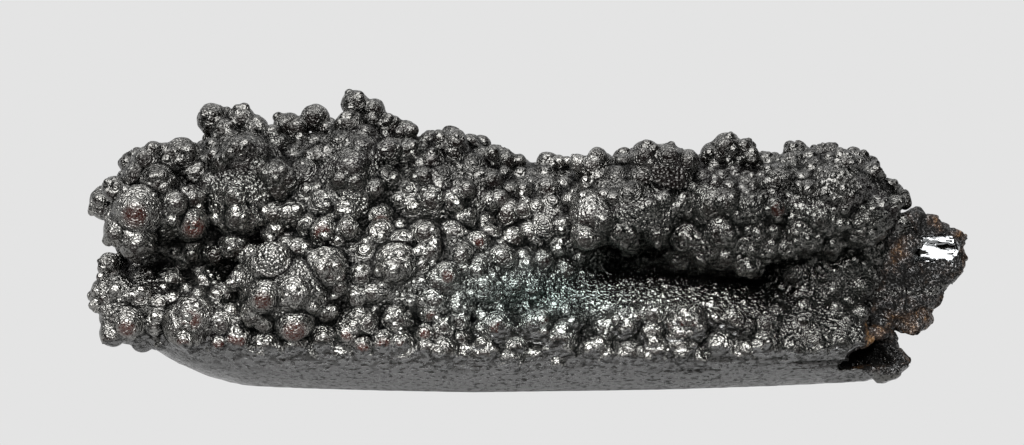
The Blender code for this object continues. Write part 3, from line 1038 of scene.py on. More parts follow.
    def seat_front(self, form: BVHTree, sight: Sight, wanted: tuple[Triple, ...], depth: float) -> None:
        """Seats globules where the eye's ray through each meets the form, the largest first.

        Args:
            form: The rough form.
            sight: The eye.
            wanted: The x, height and radius of each.
            depth: How far under the surface each middle lies, as a share of the radius.
        """
        eye = sight.eye()
        rust = {(x, height): share for x, height, share in self.rusty}
        buds: list[Globule] = []
        for x, height, radius in sorted(wanted, key=lambda read: -read[2]):
            direction = (sight.front_point(x, height) - eye).normalized()
            hit, normal, _, reach = form.ray_cast(eye, direction)
            if hit is None:
                near, normal, _, _ = form.find_nearest(sight.front_point(x, height))
                reach = (near - eye).dot(direction)
            for other in self.globules:
                met = self.ball_hit(eye, direction, other)
                if met is not None:
                    reach = min(reach, met)
            middle = eye + direction * (reach + depth * radius)
            tip = (self.tip_keeps * normal - direction + Vector((0, 0, -self.tip_droop))).normalized()
            ball = Globule(middle, radius, tip, rust.get((x, height), self.plain_iron))
            self.globules.append(ball)
            if radius >= self.bud_from and ball.iron < self.bud_iron_limit and depth < self.swell_depth:
                buds += self.buds_of(ball)
        self.globules += buds

    def own_chance(self, ball: Globule, by_radius: float = 0.0) -> random.Random:
        """A source of chance that a globule's place alone seeds, so it stays when others change."""
        return random.Random(round(ball.middle.x * 1000 + ball.middle.z * 77 + ball.radius * by_radius))

    def buds_of(self, ball: Globule) -> list[Globule]:
        """The smaller domes that stand round the tip of a large globule, by chance none or a few.

        Args:
            ball: The large globule.

        Returns:
            Its buds.
        """
        chance = self.own_chance(ball)
        buds = []
        for _ in range(chance.choice(self.bud_counts)):
            across = Matrix.Rotation(chance.uniform(0, math.tau), 3, ball.tip) @ ball.tip.orthogonal()
            outward = Matrix.Rotation(chance.uniform(*self.bud_leans), 3, across) @ ball.tip
            radius = ball.radius * chance.uniform(*self.bud_sizes)
            middle = ball.middle + outward * (ball.radius - self.bud_depth * radius)
            tip = (outward + ball.tip).normalized()
            buds.append(Globule(middle, radius, tip, self.bud_iron_share * ball.iron))
        return buds

    def scatter(self, form: BVHTree, sight: Sight) -> None:
        """Scatters globules over the rest of the crust, smaller ones where the eye sees it.

        Args:
            form: The rough form.
            sight: The eye.
        """
        chance = random.Random(SEED)
        eye = sight.eye()
        buds: list[Globule] = []
        for _ in range(self.tries):
            turn = chance.uniform(0, math.tau)
            rise = chance.uniform(*self.ray_rises)
            level = math.sqrt(1 - rise * rise)
            direction = -Vector((level * math.cos(turn), level * math.sin(turn), rise))
            target = Vector([chance.uniform(*span) for span in self.aims])
            hit, normal, _, _ = form.ray_cast(target - direction * self.ray_start, direction)
            if hit is None or hit.x > self.right_limit:
                continue
            to_eye = (eye - hit).normalized()
            blocked, _, _, _ = form.ray_cast(hit + normal * self.lift, to_eye)
            seen = blocked is None and normal.dot(to_eye) > self.least_facing
            if hit.z < (self.seen_floor if seen else self.unseen_floor):
                continue
            if seen and self.druse.share(np.array([hit]), sight)[0] > self.druse.clear:
                continue
            radius = chance.uniform(*(self.seen_radii if seen else self.unseen_radii))
            spacing = self.seen_spacing if seen else self.unseen_spacing
            middle = hit - normal * radius * (self.seen_depth if seen else self.unseen_depth)
            free = all(
                (middle - ball.middle).length > spacing * (radius + ball.radius) for ball in self.globules
            )
            if free:
                ball = Globule(middle, radius, normal, 0.0 if seen else self.unseen_iron)
                self.globules.append(ball)
                if radius >= self.bud_from and not seen:
                    buds += self.buds_of(ball)
        self.globules += buds

    def sprinkle(self, growth: Mesh, sight: Sight) -> None:
        """Sprinkles the grains over a coarse skin of all that has grown."""
        self.globules += self.grains.over(growth, self.druse, sight)

    def toward_tips(self, points: np.ndarray, owner: np.ndarray) -> tuple[np.ndarray, np.ndarray]:
        """Finds where on its globule each point lies.

        Args:
            points: The points in millimetres, one per row.
            owner: The globule that each lies on, by its place in the list.

        Returns:
            The globule's radius, and the cosine of the angle between the tip and the point.
        """
        middles = np.array([ball.middle for ball in self.globules])[owner]
        tips = np.array([ball.tip for ball in self.globules])[owner]
        radii = np.array([ball.radius for ball in self.globules])[owner]
        apart = points - middles
        length = np.maximum(np.linalg.norm(apart, axis=1), TINY)
        return radii, np.clip((apart * tips).sum(axis=1) / length, -1.0, 1.0)

    def relief(self, points: np.ndarray, owner: np.ndarray) -> np.ndarray:
        """The peaks of the globules and their unevenness, as heights in millimetres."""
        peaks = self.surface.peaks(*self.toward_tips(points, owner)) * (owner >= 0)
        return peaks + self.surface.unevenness(points)

    def balls(self, left: float, right: float) -> Mesh:
        """The globules between two places along the length, as one mesh of slightly uneven balls.

        They are thousands, so each is a turned and stretched copy of one of three unit balls, finer for
        a larger radius, and the mesh is filled from arrays.
        """
        units = []
        for detail in self.ball_details:
            bm = bmesh.new()
            bmesh.ops.create_icosphere(bm, subdivisions=detail, radius=1.0)
            unit = mesh_from("unit_ball", bm)
            units.append((array_of(unit, "vertices", "co"), array_of(unit, "loops", "vertex_index", 1)))
            bpy.data.meshes.remove(unit)
        points, corners, count = [], [], 0
        for ball in self.globules:
            if not left - ball.radius < ball.middle.x < right + ball.radius:
                continue
            chance = self.own_chance(ball, by_radius=13)
            sizes = [chance.uniform(1 - self.unevenness, 1 + self.unevenness) * ball.radius for _ in range(3)]
            turn = Matrix.Rotation(chance.uniform(-math.pi / 2, math.pi / 2), 3, "Y")
            shape, loops = units[sum(ball.radius >= limit for limit in self.detail_radii)]
            points.append(shape @ np.array(turn @ Matrix.Diagonal(sizes)).T + np.array(ball.middle))
            corners.append(loops + count)
            count += len(shape)
        mesh = bpy.data.meshes.new("balls")
        mesh.vertices.add(count)
        mesh.vertices.foreach_set("co", (np.concatenate(points) * MM).ravel())
        joined = np.concatenate(corners)
        mesh.loops.add(len(joined))
        mesh.loops.foreach_set("vertex_index", joined)
        mesh.polygons.add(len(joined) // 3)
        mesh.polygons.foreach_set("loop_start", np.arange(0, len(joined), 3))
        mesh.update(calc_edges=True)
        return mesh

    def owners(self, points: np.ndarray) -> tuple[np.ndarray, np.ndarray]:
        """Finds the globule whose surface is nearest to each point.

        Args:
            points: The points in millimetres, one per row.

        Returns:
            The place of that globule in the list, or -1, and the distance to its surface in millimetres.
        """
        order = np.argsort(points[:, 0])
        ordered = points[order]
        distance = np.full(len(points), self.far)
        owner = np.full(len(points), -1)
        for index, ball in enumerate(self.globules):
            reach = self.owned_reach * ball.radius
            low, high = np.searchsorted(ordered[:, 0], (ball.middle.x - reach, ball.middle.x + reach))
            off = np.abs(np.linalg.norm(ordered[low:high] - np.array(ball.middle), axis=1) - ball.radius)
            better = low + np.flatnonzero(off < distance[low:high])
            distance[better] = off[better - low]
            owner[better] = index
        back = np.argsort(order)
        return owner[back], distance[back]

    def marks(self, points: np.ndarray, owner: np.ndarray) -> dict[str, np.ndarray]:
        """Works out what the finish of the crust reads at each point.

        Args:
            points: The points in millimetres, one per row.
            owner: The globule that each lies on, by its place in the list.

        Returns:
            The marks of the globules' surface, with no tip and no steps between them, and beads there.
        """
        irons = np.array([ball.iron for ball in self.globules])[owner]
        on_ball = owner >= 0
        marks = self.surface.marks(*self.toward_tips(points, owner))
        marks["iron"] *= irons
        for name in ("iron", "calm", "step"):
            marks[name] *= on_ball
        marks["bead"] = np.where(on_ball, marks["bead"], 1.0)
        return marks


@dataclass(frozen=True)
class BotryoidalGoethite:
    """Goethite as it grew, in globules with a drusy skin.

    The eye gets black with a lustre between glassy and metallic, broken into flecks by the fine steps and
    wrinkles of the skin, and a red-brown glow at the tips of some globules.
    """

    colour: str = "#090909"
    # painted shade: the near black of crevices and shaded places
    painted_shade_colour: str = "#020202"
    rust: str = "#36120b"
    warm: str = "#fffdf7"
    # painted reflection: the bluish tint of the reflections over the front row
    bluish_reflection: str = "#d8efea"
    ior: float = 2.3
    # the patches of more and less gloss
    patch: float = 1.1
    patch_edges: Pair = (0.35, 0.7)
    smooth_roughness: float = 0.06
    dull_roughness: float = 0.14
    # how much is mirrored in the pores and beside them, and, as painted shade, at the calm tips and deep in a
    # hollow
    pore_edges: Pair = (0.36, 0.5)
    pore_levels: Pair = (0.14, 0.9)
    calm_share: float = 0.35
    hollow_share: float = 0.05
    # the relief, from coarse to fine
    bead: float = 0.75
    bead_height: float = 0.6
    wrinkle: float = 0.38
    wrinkle_height: float = 0.24
    wrinkle_on_globules: float = 0.42
    step: float = 0.5
    step_height: float = 0.12
    sway: float = 1.5

    def material(self) -> Material:
        """Builds the material: beads, growth steps round each tip and wrinkles, from coarse to fine.

        Returns:
            The material.
        """
        material, tree, shader = new_material("botryoidal_goethite")
        places = add_node(tree, "TexCoord", {}, {}).outputs["Object"]
        ring, iron, calm, step, bead, bluish_reflection, hollow = (
            add_node(tree, "Attribute", {"attribute_name": name}, {}).outputs["Fac"]
            for name in ("ring", "iron", "calm", "step", "bead", "bluish_reflection", "hollow")
        )
        wrinkles = add_node(tree, "TexNoise", {}, {
            "Vector": places, "Scale": per_metre(self.wrinkle), "Detail": 1.0}).outputs["Fac"]
        patches = add_node(tree, "TexNoise", {}, {
            "Vector": places, "Scale": per_metre(self.patch), "Detail": 2.0}).outputs["Fac"]
        beads = add_node(tree, "TexVoronoi", {"feature": "F1"}, {
            "Vector": places, "Scale": per_metre(self.bead)}).outputs["Distance"]
        # the beads stand where the attribute says, each a dome round its middle
        dome = add_node(tree, "Math", {"operation": "MULTIPLY"}, {0: beads, 1: beads}).outputs[0]
        beaded = add_node(tree, "Math", {"operation": "MULTIPLY"}, {0: dome, 1: bead}).outputs[0]
        # the growth steps run round the tip, swayed and faded by the patches
        swayed = add_node(tree, "Math", {"operation": "MULTIPLY_ADD"}, {
            0: patches, 1: self.sway, 2: ring}).outputs[0]
        turns = add_node(tree, "Math", {"operation": "MULTIPLY"}, {
            0: swayed, 1: math.tau / self.step}).outputs[0]
        steps = add_node(tree, "Math", {"operation": "SINE"}, {0: turns}).outputs[0]
        shown = add_node(tree, "Math", {"operation": "MULTIPLY"}, {0: steps, 1: step}).outputs[0]
        faded = add_node(tree, "Math", {"operation": "MULTIPLY"}, {0: shown, 1: patches}).outputs[0]
        # the wrinkles are strongest between the globules and weakest at the calm tips
        rough = add_node(tree, "MapRange", {}, {
            "Value": bead, "To Min": self.wrinkle_on_globules, "To Max": 1.0}).outputs[0]
        uneven = add_node(tree, "MapRange", {}, {
            "Value": calm, "To Min": 1.0, "To Max": self.calm_share}).outputs[0]
        amount = add_node(tree, "Math", {"operation": "MULTIPLY"}, {0: rough, 1: uneven}).outputs[0]
        wrinkled = add_node(tree, "Math", {"operation": "MULTIPLY"}, {0: wrinkles, 1: amount}).outputs[0]
        normal = add_node(tree, "Bump", {"invert": True}, {
            "Strength": 1.0, "Distance": self.bead_height * MM, "Height": beaded}).outputs[0]
        normal = add_node(tree, "Bump", {}, {
            "Strength": 1.0, "Distance": self.step_height * MM, "Height": faded, "Normal": normal}).outputs[0]
        normal = add_node(tree, "Bump", {}, {
            "Strength": 1.0, "Distance": self.wrinkle_height * MM, "Height": wrinkled,
            "Normal": normal}).outputs[0]
        # pores mirror less; calm tips and hollows mirror less as painted shade
        pores = add_node(tree, "MapRange", {}, {
            "Value": wrinkles, "From Min": self.pore_edges[0], "From Max": self.pore_edges[1],
            "To Min": self.pore_levels[0], "To Max": self.pore_levels[1]}).outputs[0]
        gloss = add_node(tree, "MapRange", {}, {
            "Value": hollow, "To Min": 1.0, "To Max": self.hollow_share}).outputs[0]
        dimmed = add_node(tree, "Math", {"operation": "MULTIPLY"}, {0: pores, 1: uneven}).outputs[0]
        level = add_node(tree, "Math", {"operation": "MULTIPLY"}, {0: dimmed, 1: gloss}).outputs[0]
        rusted = add_node(tree, "Mix", {"data_type": "RGBA"}, {
            0: iron, 6: linear(self.colour), 7: linear(self.rust)}).outputs[2]
        # painted shade: the hollow attribute turns the colour to near black
        with_painted_shade = add_node(tree, "Mix", {"data_type": "RGBA"}, {
            0: hollow, 6: rusted, 7: linear(self.painted_shade_colour)}).outputs[2]
        # painted reflection: a bluish tint of the crust's reflections over the front row
        tinted = add_node(tree, "Mix", {"data_type": "RGBA"}, {
            0: bluish_reflection, 6: linear(self.warm), 7: linear(self.bluish_reflection)}).outputs[2]
        dulled = add_node(tree, "MapRange", {}, {
            "Value": patches, "From Min": self.patch_edges[0], "From Max": self.patch_edges[1],
            "To Min": self.smooth_roughness, "To Max": self.dull_roughness}).outputs[0]
        fill_inputs(tree, shader, {
            "Base Color": with_painted_shade, "Specular Tint": tinted, "Specular IOR Level": level,
            "Roughness": dulled, "Normal": normal, "IOR": self.ior})
        return material


@dataclass(frozen=True)
class SmoothGoethite:
    """The lower shell, goethite laid down in smooth sheets.

    The eye gets the same near black with an even satin sheen, which mirrors the pale floor as a plain grey,
    speckled by pits that lie along the shell.
    """

    colour: str = "#181715"
    ior: float = 2.3
    roughness: float = 0.22
    pit: float = 0.42
    pit_stretch: Triple = (0.45, 1.0, 1.0)
    pit_edges: Pair = (0.35, 0.52)
    pit_levels: Pair = (0.1, 0.54)
    pit_height: float = 0.22
    # how much is mirrored where the painted shade of a groove or a dull speck is full
    hollow_share: float = 0.25

    def material(self) -> Material:
        """Builds the material: pits drawn out along the length, which mirror less, and grooves, which mirror
        less as painted shade.

        Returns:
            The material.
        """
        material, tree, shader = new_material("smooth_goethite")
        places = add_node(tree, "TexCoord", {}, {}).outputs["Object"]
        hollow = add_node(tree, "Attribute", {"attribute_name": "hollow"}, {}).outputs["Fac"]
        drawn = add_node(tree, "Mapping", {}, {"Vector": places, "Scale": self.pit_stretch}).outputs[0]
        pits = add_node(tree, "TexNoise", {}, {
            "Vector": drawn, "Scale": per_metre(self.pit), "Detail": 3.0, "Roughness": 0.6}).outputs["Fac"]
        edged = add_node(tree, "MapRange", {"interpolation_type": "SMOOTHSTEP"}, {
            "Value": pits, "From Min": self.pit_edges[0], "From Max": self.pit_edges[1]}).outputs[0]
        normal = add_node(tree, "Bump", {}, {
            "Strength": 1.0, "Distance": self.pit_height * MM, "Height": edged}).outputs[0]
        level = add_node(tree, "MapRange", {}, {
            "Value": edged, "To Min": self.pit_levels[0], "To Max": self.pit_levels[1]}).outputs[0]
        # painted shade in the grooves, and the dull specks, mirror less
        gloss = add_node(tree, "MapRange", {}, {
            "Value": hollow, "To Min": 1.0, "To Max": self.hollow_share}).outputs[0]
        dimmed = add_node(tree, "Math", {"operation": "MULTIPLY"}, {0: level, 1: gloss}).outputs[0]
        fill_inputs(tree, shader, {
            "Base Color": linear(self.colour), "Specular IOR Level": dimmed,
            "Roughness": self.roughness, "Normal": normal, "IOR": self.ior})
        return material


@dataclass(frozen=True)
class BrokenGoethite:
    """Goethite where it broke or rusted: dark granular rock with ochre limonite in the hollows.

    The eye gets a dull brown-black, sprinkled with sparks, that turns to ochre and orange-brown at edges.
    """

    dark: str = "#0b0a09"
    brown: str = "#35261b"
    ochre: str = "#8f6838"
    ior: float = 2.1
    grain: float = 0.42
    grain_height: float = 0.35
    patch: float = 2.2
    # how much the attribute adds to grains and patches, and the sums that turn dark to ochre
    edge_share: float = 0.6
    tone_edges: Pair = (1.08, 1.65)
    # the sparks: smoother on the grains, and more mirrored there
    spark_edges: Pair = (0.62, 0.45)
    bright_roughness: float = 0.1
    dull_roughness: float = 0.6
    level_edges: Pair = (0.5, 0.66)
    levels: Pair = (0.06, 0.6)

    def material(self) -> Material:
        """Builds the material: dark to brown by grains and patches, and ochre where the attribute says.

        Returns:
            The material.
        """
        material, tree, shader = new_material("broken_goethite")
        places = add_node(tree, "TexCoord", {}, {}).outputs["Object"]
        edge = add_node(tree, "Attribute", {"attribute_name": "ochre"}, {}).outputs["Fac"]
        grains = add_node(tree, "TexNoise", {}, {
            "Vector": places, "Scale": per_metre(self.grain), "Detail": 2.0, "Roughness": 0.6}).outputs["Fac"]
        patches = add_node(tree, "TexNoise", {}, {
            "Vector": places, "Scale": per_metre(self.patch), "Detail": 3.0}).outputs["Fac"]
        coarse = add_node(tree, "Math", {"operation": "MULTIPLY_ADD"}, {
            0: edge, 1: self.edge_share, 2: patches}).outputs[0]
        summed = add_node(tree, "Math", {"operation": "ADD"}, {0: grains, 1: coarse}).outputs[0]
        shares = add_node(tree, "MapRange", {}, {
            "Value": summed, "From Min": self.tone_edges[0], "From Max": self.tone_edges[1]}).outputs[0]
        tones = add_node(tree, "ValToRGB", {}, {"Fac": shares})
        ramp = tones.color_ramp
        ramp.elements[0].color = linear(self.dark)
        ramp.elements[1].color = linear(self.ochre)
        ramp.elements.new(0.5).color = linear(self.brown)
        sparks = add_node(tree, "MapRange", {}, {
            "Value": grains, "From Min": self.spark_edges[0], "From Max": self.spark_edges[1],
            "To Min": self.bright_roughness, "To Max": self.dull_roughness}).outputs[0]
        level = add_node(tree, "MapRange", {}, {
            "Value": grains, "From Min": self.level_edges[0], "From Max": self.level_edges[1],
            "To Min": self.levels[0], "To Max": self.levels[1]}).outputs[0]
        normal = add_node(tree, "Bump", {}, {
            "Strength": 1.0, "Distance": self.grain_height * MM, "Height": grains}).outputs[0]
        fill_inputs(tree, shader, {
            "Base Color": tones.outputs["Color"], "Roughness": sparks, "Specular IOR Level": level,
            "Normal": normal, "IOR": self.ior})
        return material


@dataclass(frozen=True)
class MirrorGoethite:
    """The flat facet on the plate, smooth enough to mirror the lights.

    The eye gets one white glare, broken by dark wrinkles that lie along the facet.
    """

    colour: str = "#a2a4a5"
    fold: str = "#0d0d0c"
    roughness: float = 0.22
    wrinkle: float = 1.3
    wrinkle_stretch: Triple = (0.35, 1.0, 1.0)
    wrinkle_height: float = 0.2
    fold_edges: Pair = (0.4, 0.47)

    def material(self) -> Material:
        """Builds the material: a pale mirror, as of metal, with long dark folds.

        Returns:
            The material.
        """
        material, tree, shader = new_material("mirror_goethite")
        places = add_node(tree, "TexCoord", {}, {}).outputs["Object"]
        drawn = add_node(tree, "Mapping", {}, {"Vector": places, "Scale": self.wrinkle_stretch}).outputs[0]
        folds = add_node(tree, "TexNoise", {}, {
            "Vector": drawn, "Scale": per_metre(self.wrinkle), "Detail": 3.0,
            "Roughness": 0.55}).outputs["Fac"]
        shares = add_node(tree, "MapRange", {"interpolation_type": "SMOOTHSTEP"}, {
            "Value": folds, "From Min": self.fold_edges[0], "From Max": self.fold_edges[1]}).outputs[0]
        toned = add_node(tree, "Mix", {"data_type": "RGBA"}, {
            0: shares, 6: linear(self.fold), 7: linear(self.colour)}).outputs[2]
        normal = add_node(tree, "Bump", {}, {
            "Strength": 1.0, "Distance": self.wrinkle_height * MM, "Height": folds}).outputs[0]
        fill_inputs(tree, shader, {
            "Base Color": toned, "Metallic": 1.0, "Roughness": self.roughness, "Normal": normal})
        return material


@dataclass(frozen=True)
class Reading:
    """What is read off each vertex of a skin before it is dressed, with lengths in millimetres.

    seen is its x and height for the eye, owner its globule's place in the list or -1, depths how deep it
    lies in a small and in a large crevice, and kinds the number of its Face.
    """

    points: np.ndarray
    normals: np.ndarray
    seen: np.ndarray
    owner: np.ndarray
    depths: list[np.ndarray]
    kinds: np.ndarray


@dataclass
class Specimen:
    """The whole specimen: its rough form, its crust, and the skin that they grow together into."""

    sight: Sight = field(default_factory=Sight)
    shell: LowerShell = field(default_factory=LowerShell)
    masses: CrustMasses = field(default_factory=CrustMasses)
    end: BrokenEnd = field(default_factory=BrokenEnd)
    crust: GlobuleCrust = field(default_factory=GlobuleCrust)
    core_voxel: float = 0.8
    growth_voxel: float = 0.9
    voxel: float = 0.3
    margin: float = 4.0
    # where the shell stays bare: near it and clear of the crust, or below a height that wavers
    border_grain: float = 2.0
    shell_within: float = 0.5
    ball_clear: float = 0.25
    mass_clear: float = 0.3
    shell_slope: Pair = (0.2, 0.25)
    smooth_slope: Pair = (0.05, 0.4)
    smooth_heights: tuple[Pair, ...] = ((-20, 9), (-5, 12), (35, 12.5), (60, 10))
    smooth_waver: float = 1.5
    # where the break shows
    break_clear: float = 0.6
    break_turn: float = 0.2
    underside_below: float = 5.0
    # the crevices, which are darkened with painted shade, and partly filled where they are narrow
    owned_within: float = 0.4
    hollow_reaches: Pair = (2.0, 3.4)
    crevice_shade_edges: tuple[Pair, ...] = ((-0.12, 0.3), (0.0, 0.85))
    crevice_fill: float = 0.55
    fill_limit: float = 1.5
    druse_light: float = 1.7
    # the lobe, the crown, the notch at the left and the right end, which are darkened with painted shade
    painted_shade_places: tuple[Zone | Spot, ...] = (
        Zone((8, 16), (20, 23), 0.62),
        Zone((10, 0), (31, 39), 0.6),
        Spot((-66, 23.5), (9, 4), 0.7),
        Zone((34, 46), (26, 21), 0.6),
    )
    # the painted bluish reflection tint over the front row, and the ochre on edges that face right
    bluish_reflection: Spot = Spot((2, 17), (16, 6), 0.8)
    edge_facing: Pair = (0.6, 1.0)
    edge_ochre: float = 0.5
    stretches: tuple[Stretch, ...] = (
        Stretch("left_end", -90.0, -60.0),
        Stretch("left_mound", -60.0, -44.0),
        Stretch("crown", -44.0, -26.0),
        Stretch("slope", -26.0, -8.0),
        Stretch("saddle", -8.0, 12.0),
        Stretch("lobe", 12.0, 36.0),
        Stretch("lobe_end", 36.0, 57.0),
        Stretch("broken_end", 57.0, 90.0),
    )

    def rough_form(self) -> BMesh:
        """The masses, the lower shell and the broken pieces as one bmesh of overlapping closed shells.

        Returns:
            The bmesh, in millimetres.
        """
        bm = bmesh.new()
        self.masses.add_to(bm)
        self.shell.add_to(bm)
        self.end.add_to(bm, self.sight)
        return bm

    def grown_together(self, meshes: list[Mesh], voxel: float) -> Mesh:
        """Fuses closed shells that overlap into one skin.

        Args:
            meshes: The shells, which are removed.
            voxel: The fineness of the skin in millimetres.

        Returns:
            The skin, of quads.
        """
        bm = bmesh.new()
        for mesh in meshes:
            bm.from_mesh(mesh)
            bpy.data.meshes.remove(mesh)
        carrier = new_object("grown", mesh_from("grown", bm))
        remesh = carrier.modifiers.new("grow_together", "REMESH")
        remesh.mode = "VOXEL"
        remesh.voxel_size = voxel * MM
        return with_modifiers(carrier)

    def core(self, rough: BMesh) -> Mesh:
        """The rough form fused and hollowed at the broken end, without globules.

        Args:
            rough: The rough form in millimetres, which is gone afterwards.

        Returns:
            The core, in metres.
        """
        bmesh.ops.scale(rough, verts=rough.verts[:], vec=(MM, MM, MM))
        fused = self.grown_together([mesh_from("rough", rough)], self.core_voxel)
        carrier = new_object("core", fused)
        cutters = list(self.end.cutters(self.sight))
        for cutter in cutters:
            cut = carrier.modifiers.new("cut_" + cutter.name, "BOOLEAN")
            cut.operation = "DIFFERENCE"
            cut.solver = "MANIFOLD"
            cut.object = cutter
        core = with_modifiers(carrier)
        for cutter in cutters:
            bpy.data.objects.remove(cutter, do_unlink=True)
        return core

    def cut_flat(self, bm: BMesh, place: Vector, outward: Vector) -> None:
        """Cuts away all that lies outward of a plane, and closes the cut with a flat face.

        Args:
            bm: The bmesh, in metres.
            place: A point of the plane.
            outward: The plane's normal, toward what goes.
        """
        geometry = bm.verts[:] + bm.edges[:] + bm.faces[:]
        cut = bmesh.ops.bisect_plane(
            bm, geom=geometry, dist=MERGED, plane_co=place, plane_no=outward, clear_outer=True
        )
        rim = [item for item in cut["geom_cut"] if isinstance(item, BMEdge)]
        if not rim:
            return
        filled = bmesh.ops.triangle_fill(bm, use_beauty=True, edges=rim, normal=outward)
        caps = [item for item in filled["geom"] if isinstance(item, BMFace)]
        for face in caps:
            face.material_index = Face.CRUST
            face.smooth = False
            if face.normal.dot(outward) < 0:
                face.normal_flip()
        for edge in rim:
            edge.smooth = False

    def cut_ends(self, bm: BMesh, left: float, right: float) -> None:
        """Cuts bm flat across at two places along the length."""
        self.cut_flat(bm, Vector((left, 0, 0)) * MM, Vector((-1, 0, 0)))
        self.cut_flat(bm, Vector((right, 0, 0)) * MM, Vector((1, 0, 0)))

    def skin_of(self, stretch: Stretch, core: Mesh) -> Mesh:
        """The skin of a stretch and a margin: that part of the core, with its globules grown on.

        Args:
            stretch: The stretch.
            core: The core, in metres.

        Returns:
            The skin, in metres.
        """
        bm = bmesh.new()
        bm.from_mesh(core)
        self.cut_ends(bm, stretch.left - self.margin, stretch.right + self.margin)
        balls = self.crust.balls(stretch.left - self.margin / 2, stretch.right + self.margin / 2)
        return self.grown_together([mesh_from("stretch", bm), balls], self.voxel)

    def kinds(
        self, points: np.ndarray, normals: np.ndarray, seen: np.ndarray, to_ball: np.ndarray
    ) -> np.ndarray:
        """Finds what each vertex of a skin is.

        Args:
            points: The vertices in millimetres, one per row.
            normals: Their normals.
            seen: The x and height that the eye sees each at.
            to_ball: How far each is from the nearest globule's surface in millimetres.

        Returns:
            The number of each one's Face.
        """
        to_shell = self.shell.distance(points)
        to_mass = self.masses.distance(points)
        along, upward = points[:, 0], normals[:, 2]
        wavering = noise_of(points, self.border_grain)
        level, sway = self.shell_slope
        shell = (to_shell < self.shell_within) & (to_ball > self.ball_clear) & (to_mass > self.mass_clear)
        shell &= upward < level + sway * wavering
        level, sway = self.smooth_slope
        smooth_up_to = np.interp(along, *zip(*self.smooth_heights)) + self.smooth_waver * wavering
        shell |= (points[:, 2] < smooth_up_to) & (upward < level + sway * wavering)
        shell &= along < self.end.break_from
        broken = (along > self.end.inside_from) & (to_shell > self.shell_within)
        broken &= (to_ball > self.break_clear) & (to_mass > self.break_clear)
        underside = broken & (points[:, 2] < self.underside_below) & (upward < -self.break_turn)
        broken &= ~underside
        facing = broken & (normals[:, 1] < -self.break_turn) & (along > self.end.break_from)
        plate = np.flatnonzero(facing)
        kinds = np.full(len(points), Face.CRUST, np.int32)
        kinds[shell | underside] = Face.SHELL
        kinds[broken] = Face.BREAK
        kinds[plate[self.end.mirrored(points[plate], seen[plate])]] = Face.MIRROR
        return kinds

    def read(self, skin: Mesh) -> Reading:
        """Reads off a skin what its relief and its attributes depend on.

        Args:
            skin: The skin, in metres.

        Returns:
            What is read.
        """
        points = array_of(skin, "vertices", "co") / MM
        normals = array_of(skin, "vertices", "normal")
        seen = self.sight.read_back(points)
        owner, to_ball = self.crust.owners(points)
        kinds = self.kinds(points, normals, seen, to_ball)
        owner[to_ball > self.owned_within] = -1
        rounds = tuple(round((reach / self.voxel) ** 2) for reach in self.hollow_reaches)
        return Reading(points, normals, seen, owner, hollow_depths(skin, rounds), kinds)

    def moved(self, reading: Reading) -> np.ndarray:
        """Where the relief and the setback move each vertex, as rows in millimetres.

        Args:
            reading: What was read off the skin.

        Returns:
            The new places.
        """
        points = reading.points
        crust, shell, rough, mirror = (reading.kinds == face for face in Face)
        relief = self.crevice_fill * np.clip(reading.depths[0], 0.0, self.fill_limit)
        relief[shell] += self.shell.relief(points[shell])
        relief[rough] = self.end.relief(points[rough])
        relief[crust] += self.crust.relief(points[crust], reading.owner[crust])
        moved = points + reading.normals * relief[:, None] + np.array(SETBACK)
        moved += self.end.roughened(points) * ~mirror[:, None]
        moved[mirror, 1] += self.end.terraces(reading.seen[mirror])
        return moved

    def marks(self, reading: Reading) -> dict[str, np.ndarray]:
        """Works out what the materials read at each vertex.

        Args:
            reading: What was read off the skin.

        Returns:
            The marks of the crust; ochre, how far the break has rusted; hollow, how much painted shade
            darkens a place, in crevices and shaded places of the crust and in the shell's grooves, with the
            shell's dull specks; and bluish_reflection, a painted bluish tint of what the crust mirrors.
        """
        points, seen = reading.points, reading.seen
        shell = reading.kinds == Face.SHELL
        near, far = (smooth_step(*edges, depth) for edges, depth in zip(self.crevice_shade_edges, reading.depths))
        druse = self.crust.druse.share(points, self.sight)
        # painted shade: crevices and shaded places turn dark through the hollow attribute
        hollow = np.maximum(near, far) * (1 - np.minimum(self.druse_light * druse, 1.0))
        hollow = np.max([hollow, *(place.share(seen) for place in self.painted_shade_places)], axis=0)
        # painted shade in the shell's grooves, together with its dull specks
        hollow[shell] = np.maximum(self.shell.grooves(points[shell]), self.shell.speckles(points[shell]))
        marks = self.crust.marks(points, reading.owner)
        marks["bead"] = np.maximum(marks["bead"], druse)
        marks["bead"] *= smooth_step(*self.crust.surface.even_heights, points[:, 2])
        edge = smooth_step(*self.edge_facing, reading.normals[:, 0]) * (points[:, 0] > self.end.break_from)
        marks["ochre"] = np.maximum(self.edge_ochre * edge, self.end.ochre_share(seen))
        marks["ochre"] *= reading.kinds >= Face.BREAK
        marks["hollow"] = hollow
        # painted reflection: a bluish tint over the front row
        marks["bluish_reflection"] = self.bluish_reflection.share(seen) * (points[:, 1] < self.crust.druse.back)
        return marks

    def dressed(self, skin: Mesh) -> None:
        """Gives a skin its relief, its kinds of face and the attributes that its materials read.

        Args:
            skin: The skin, in metres, which is changed.
        """
        reading = self.read(skin)
        skin.vertices.foreach_set("co", (self.moved(reading) * MM).ravel())
        for name, values in self.marks(reading).items():
            layer = skin.attributes.new(name, "FLOAT", "POINT")
            layer.data.foreach_set("value", values.astype(np.float32))
        first = array_of(skin, "loops", "vertex_index", 1)[array_of(skin, "polygons", "loop_start", 1)]
        skin.polygons.foreach_set("material_index", reading.kinds[first])
        skin.polygons.foreach_set("use_smooth", np.ones(len(skin.polygons), bool))
        skin.update()

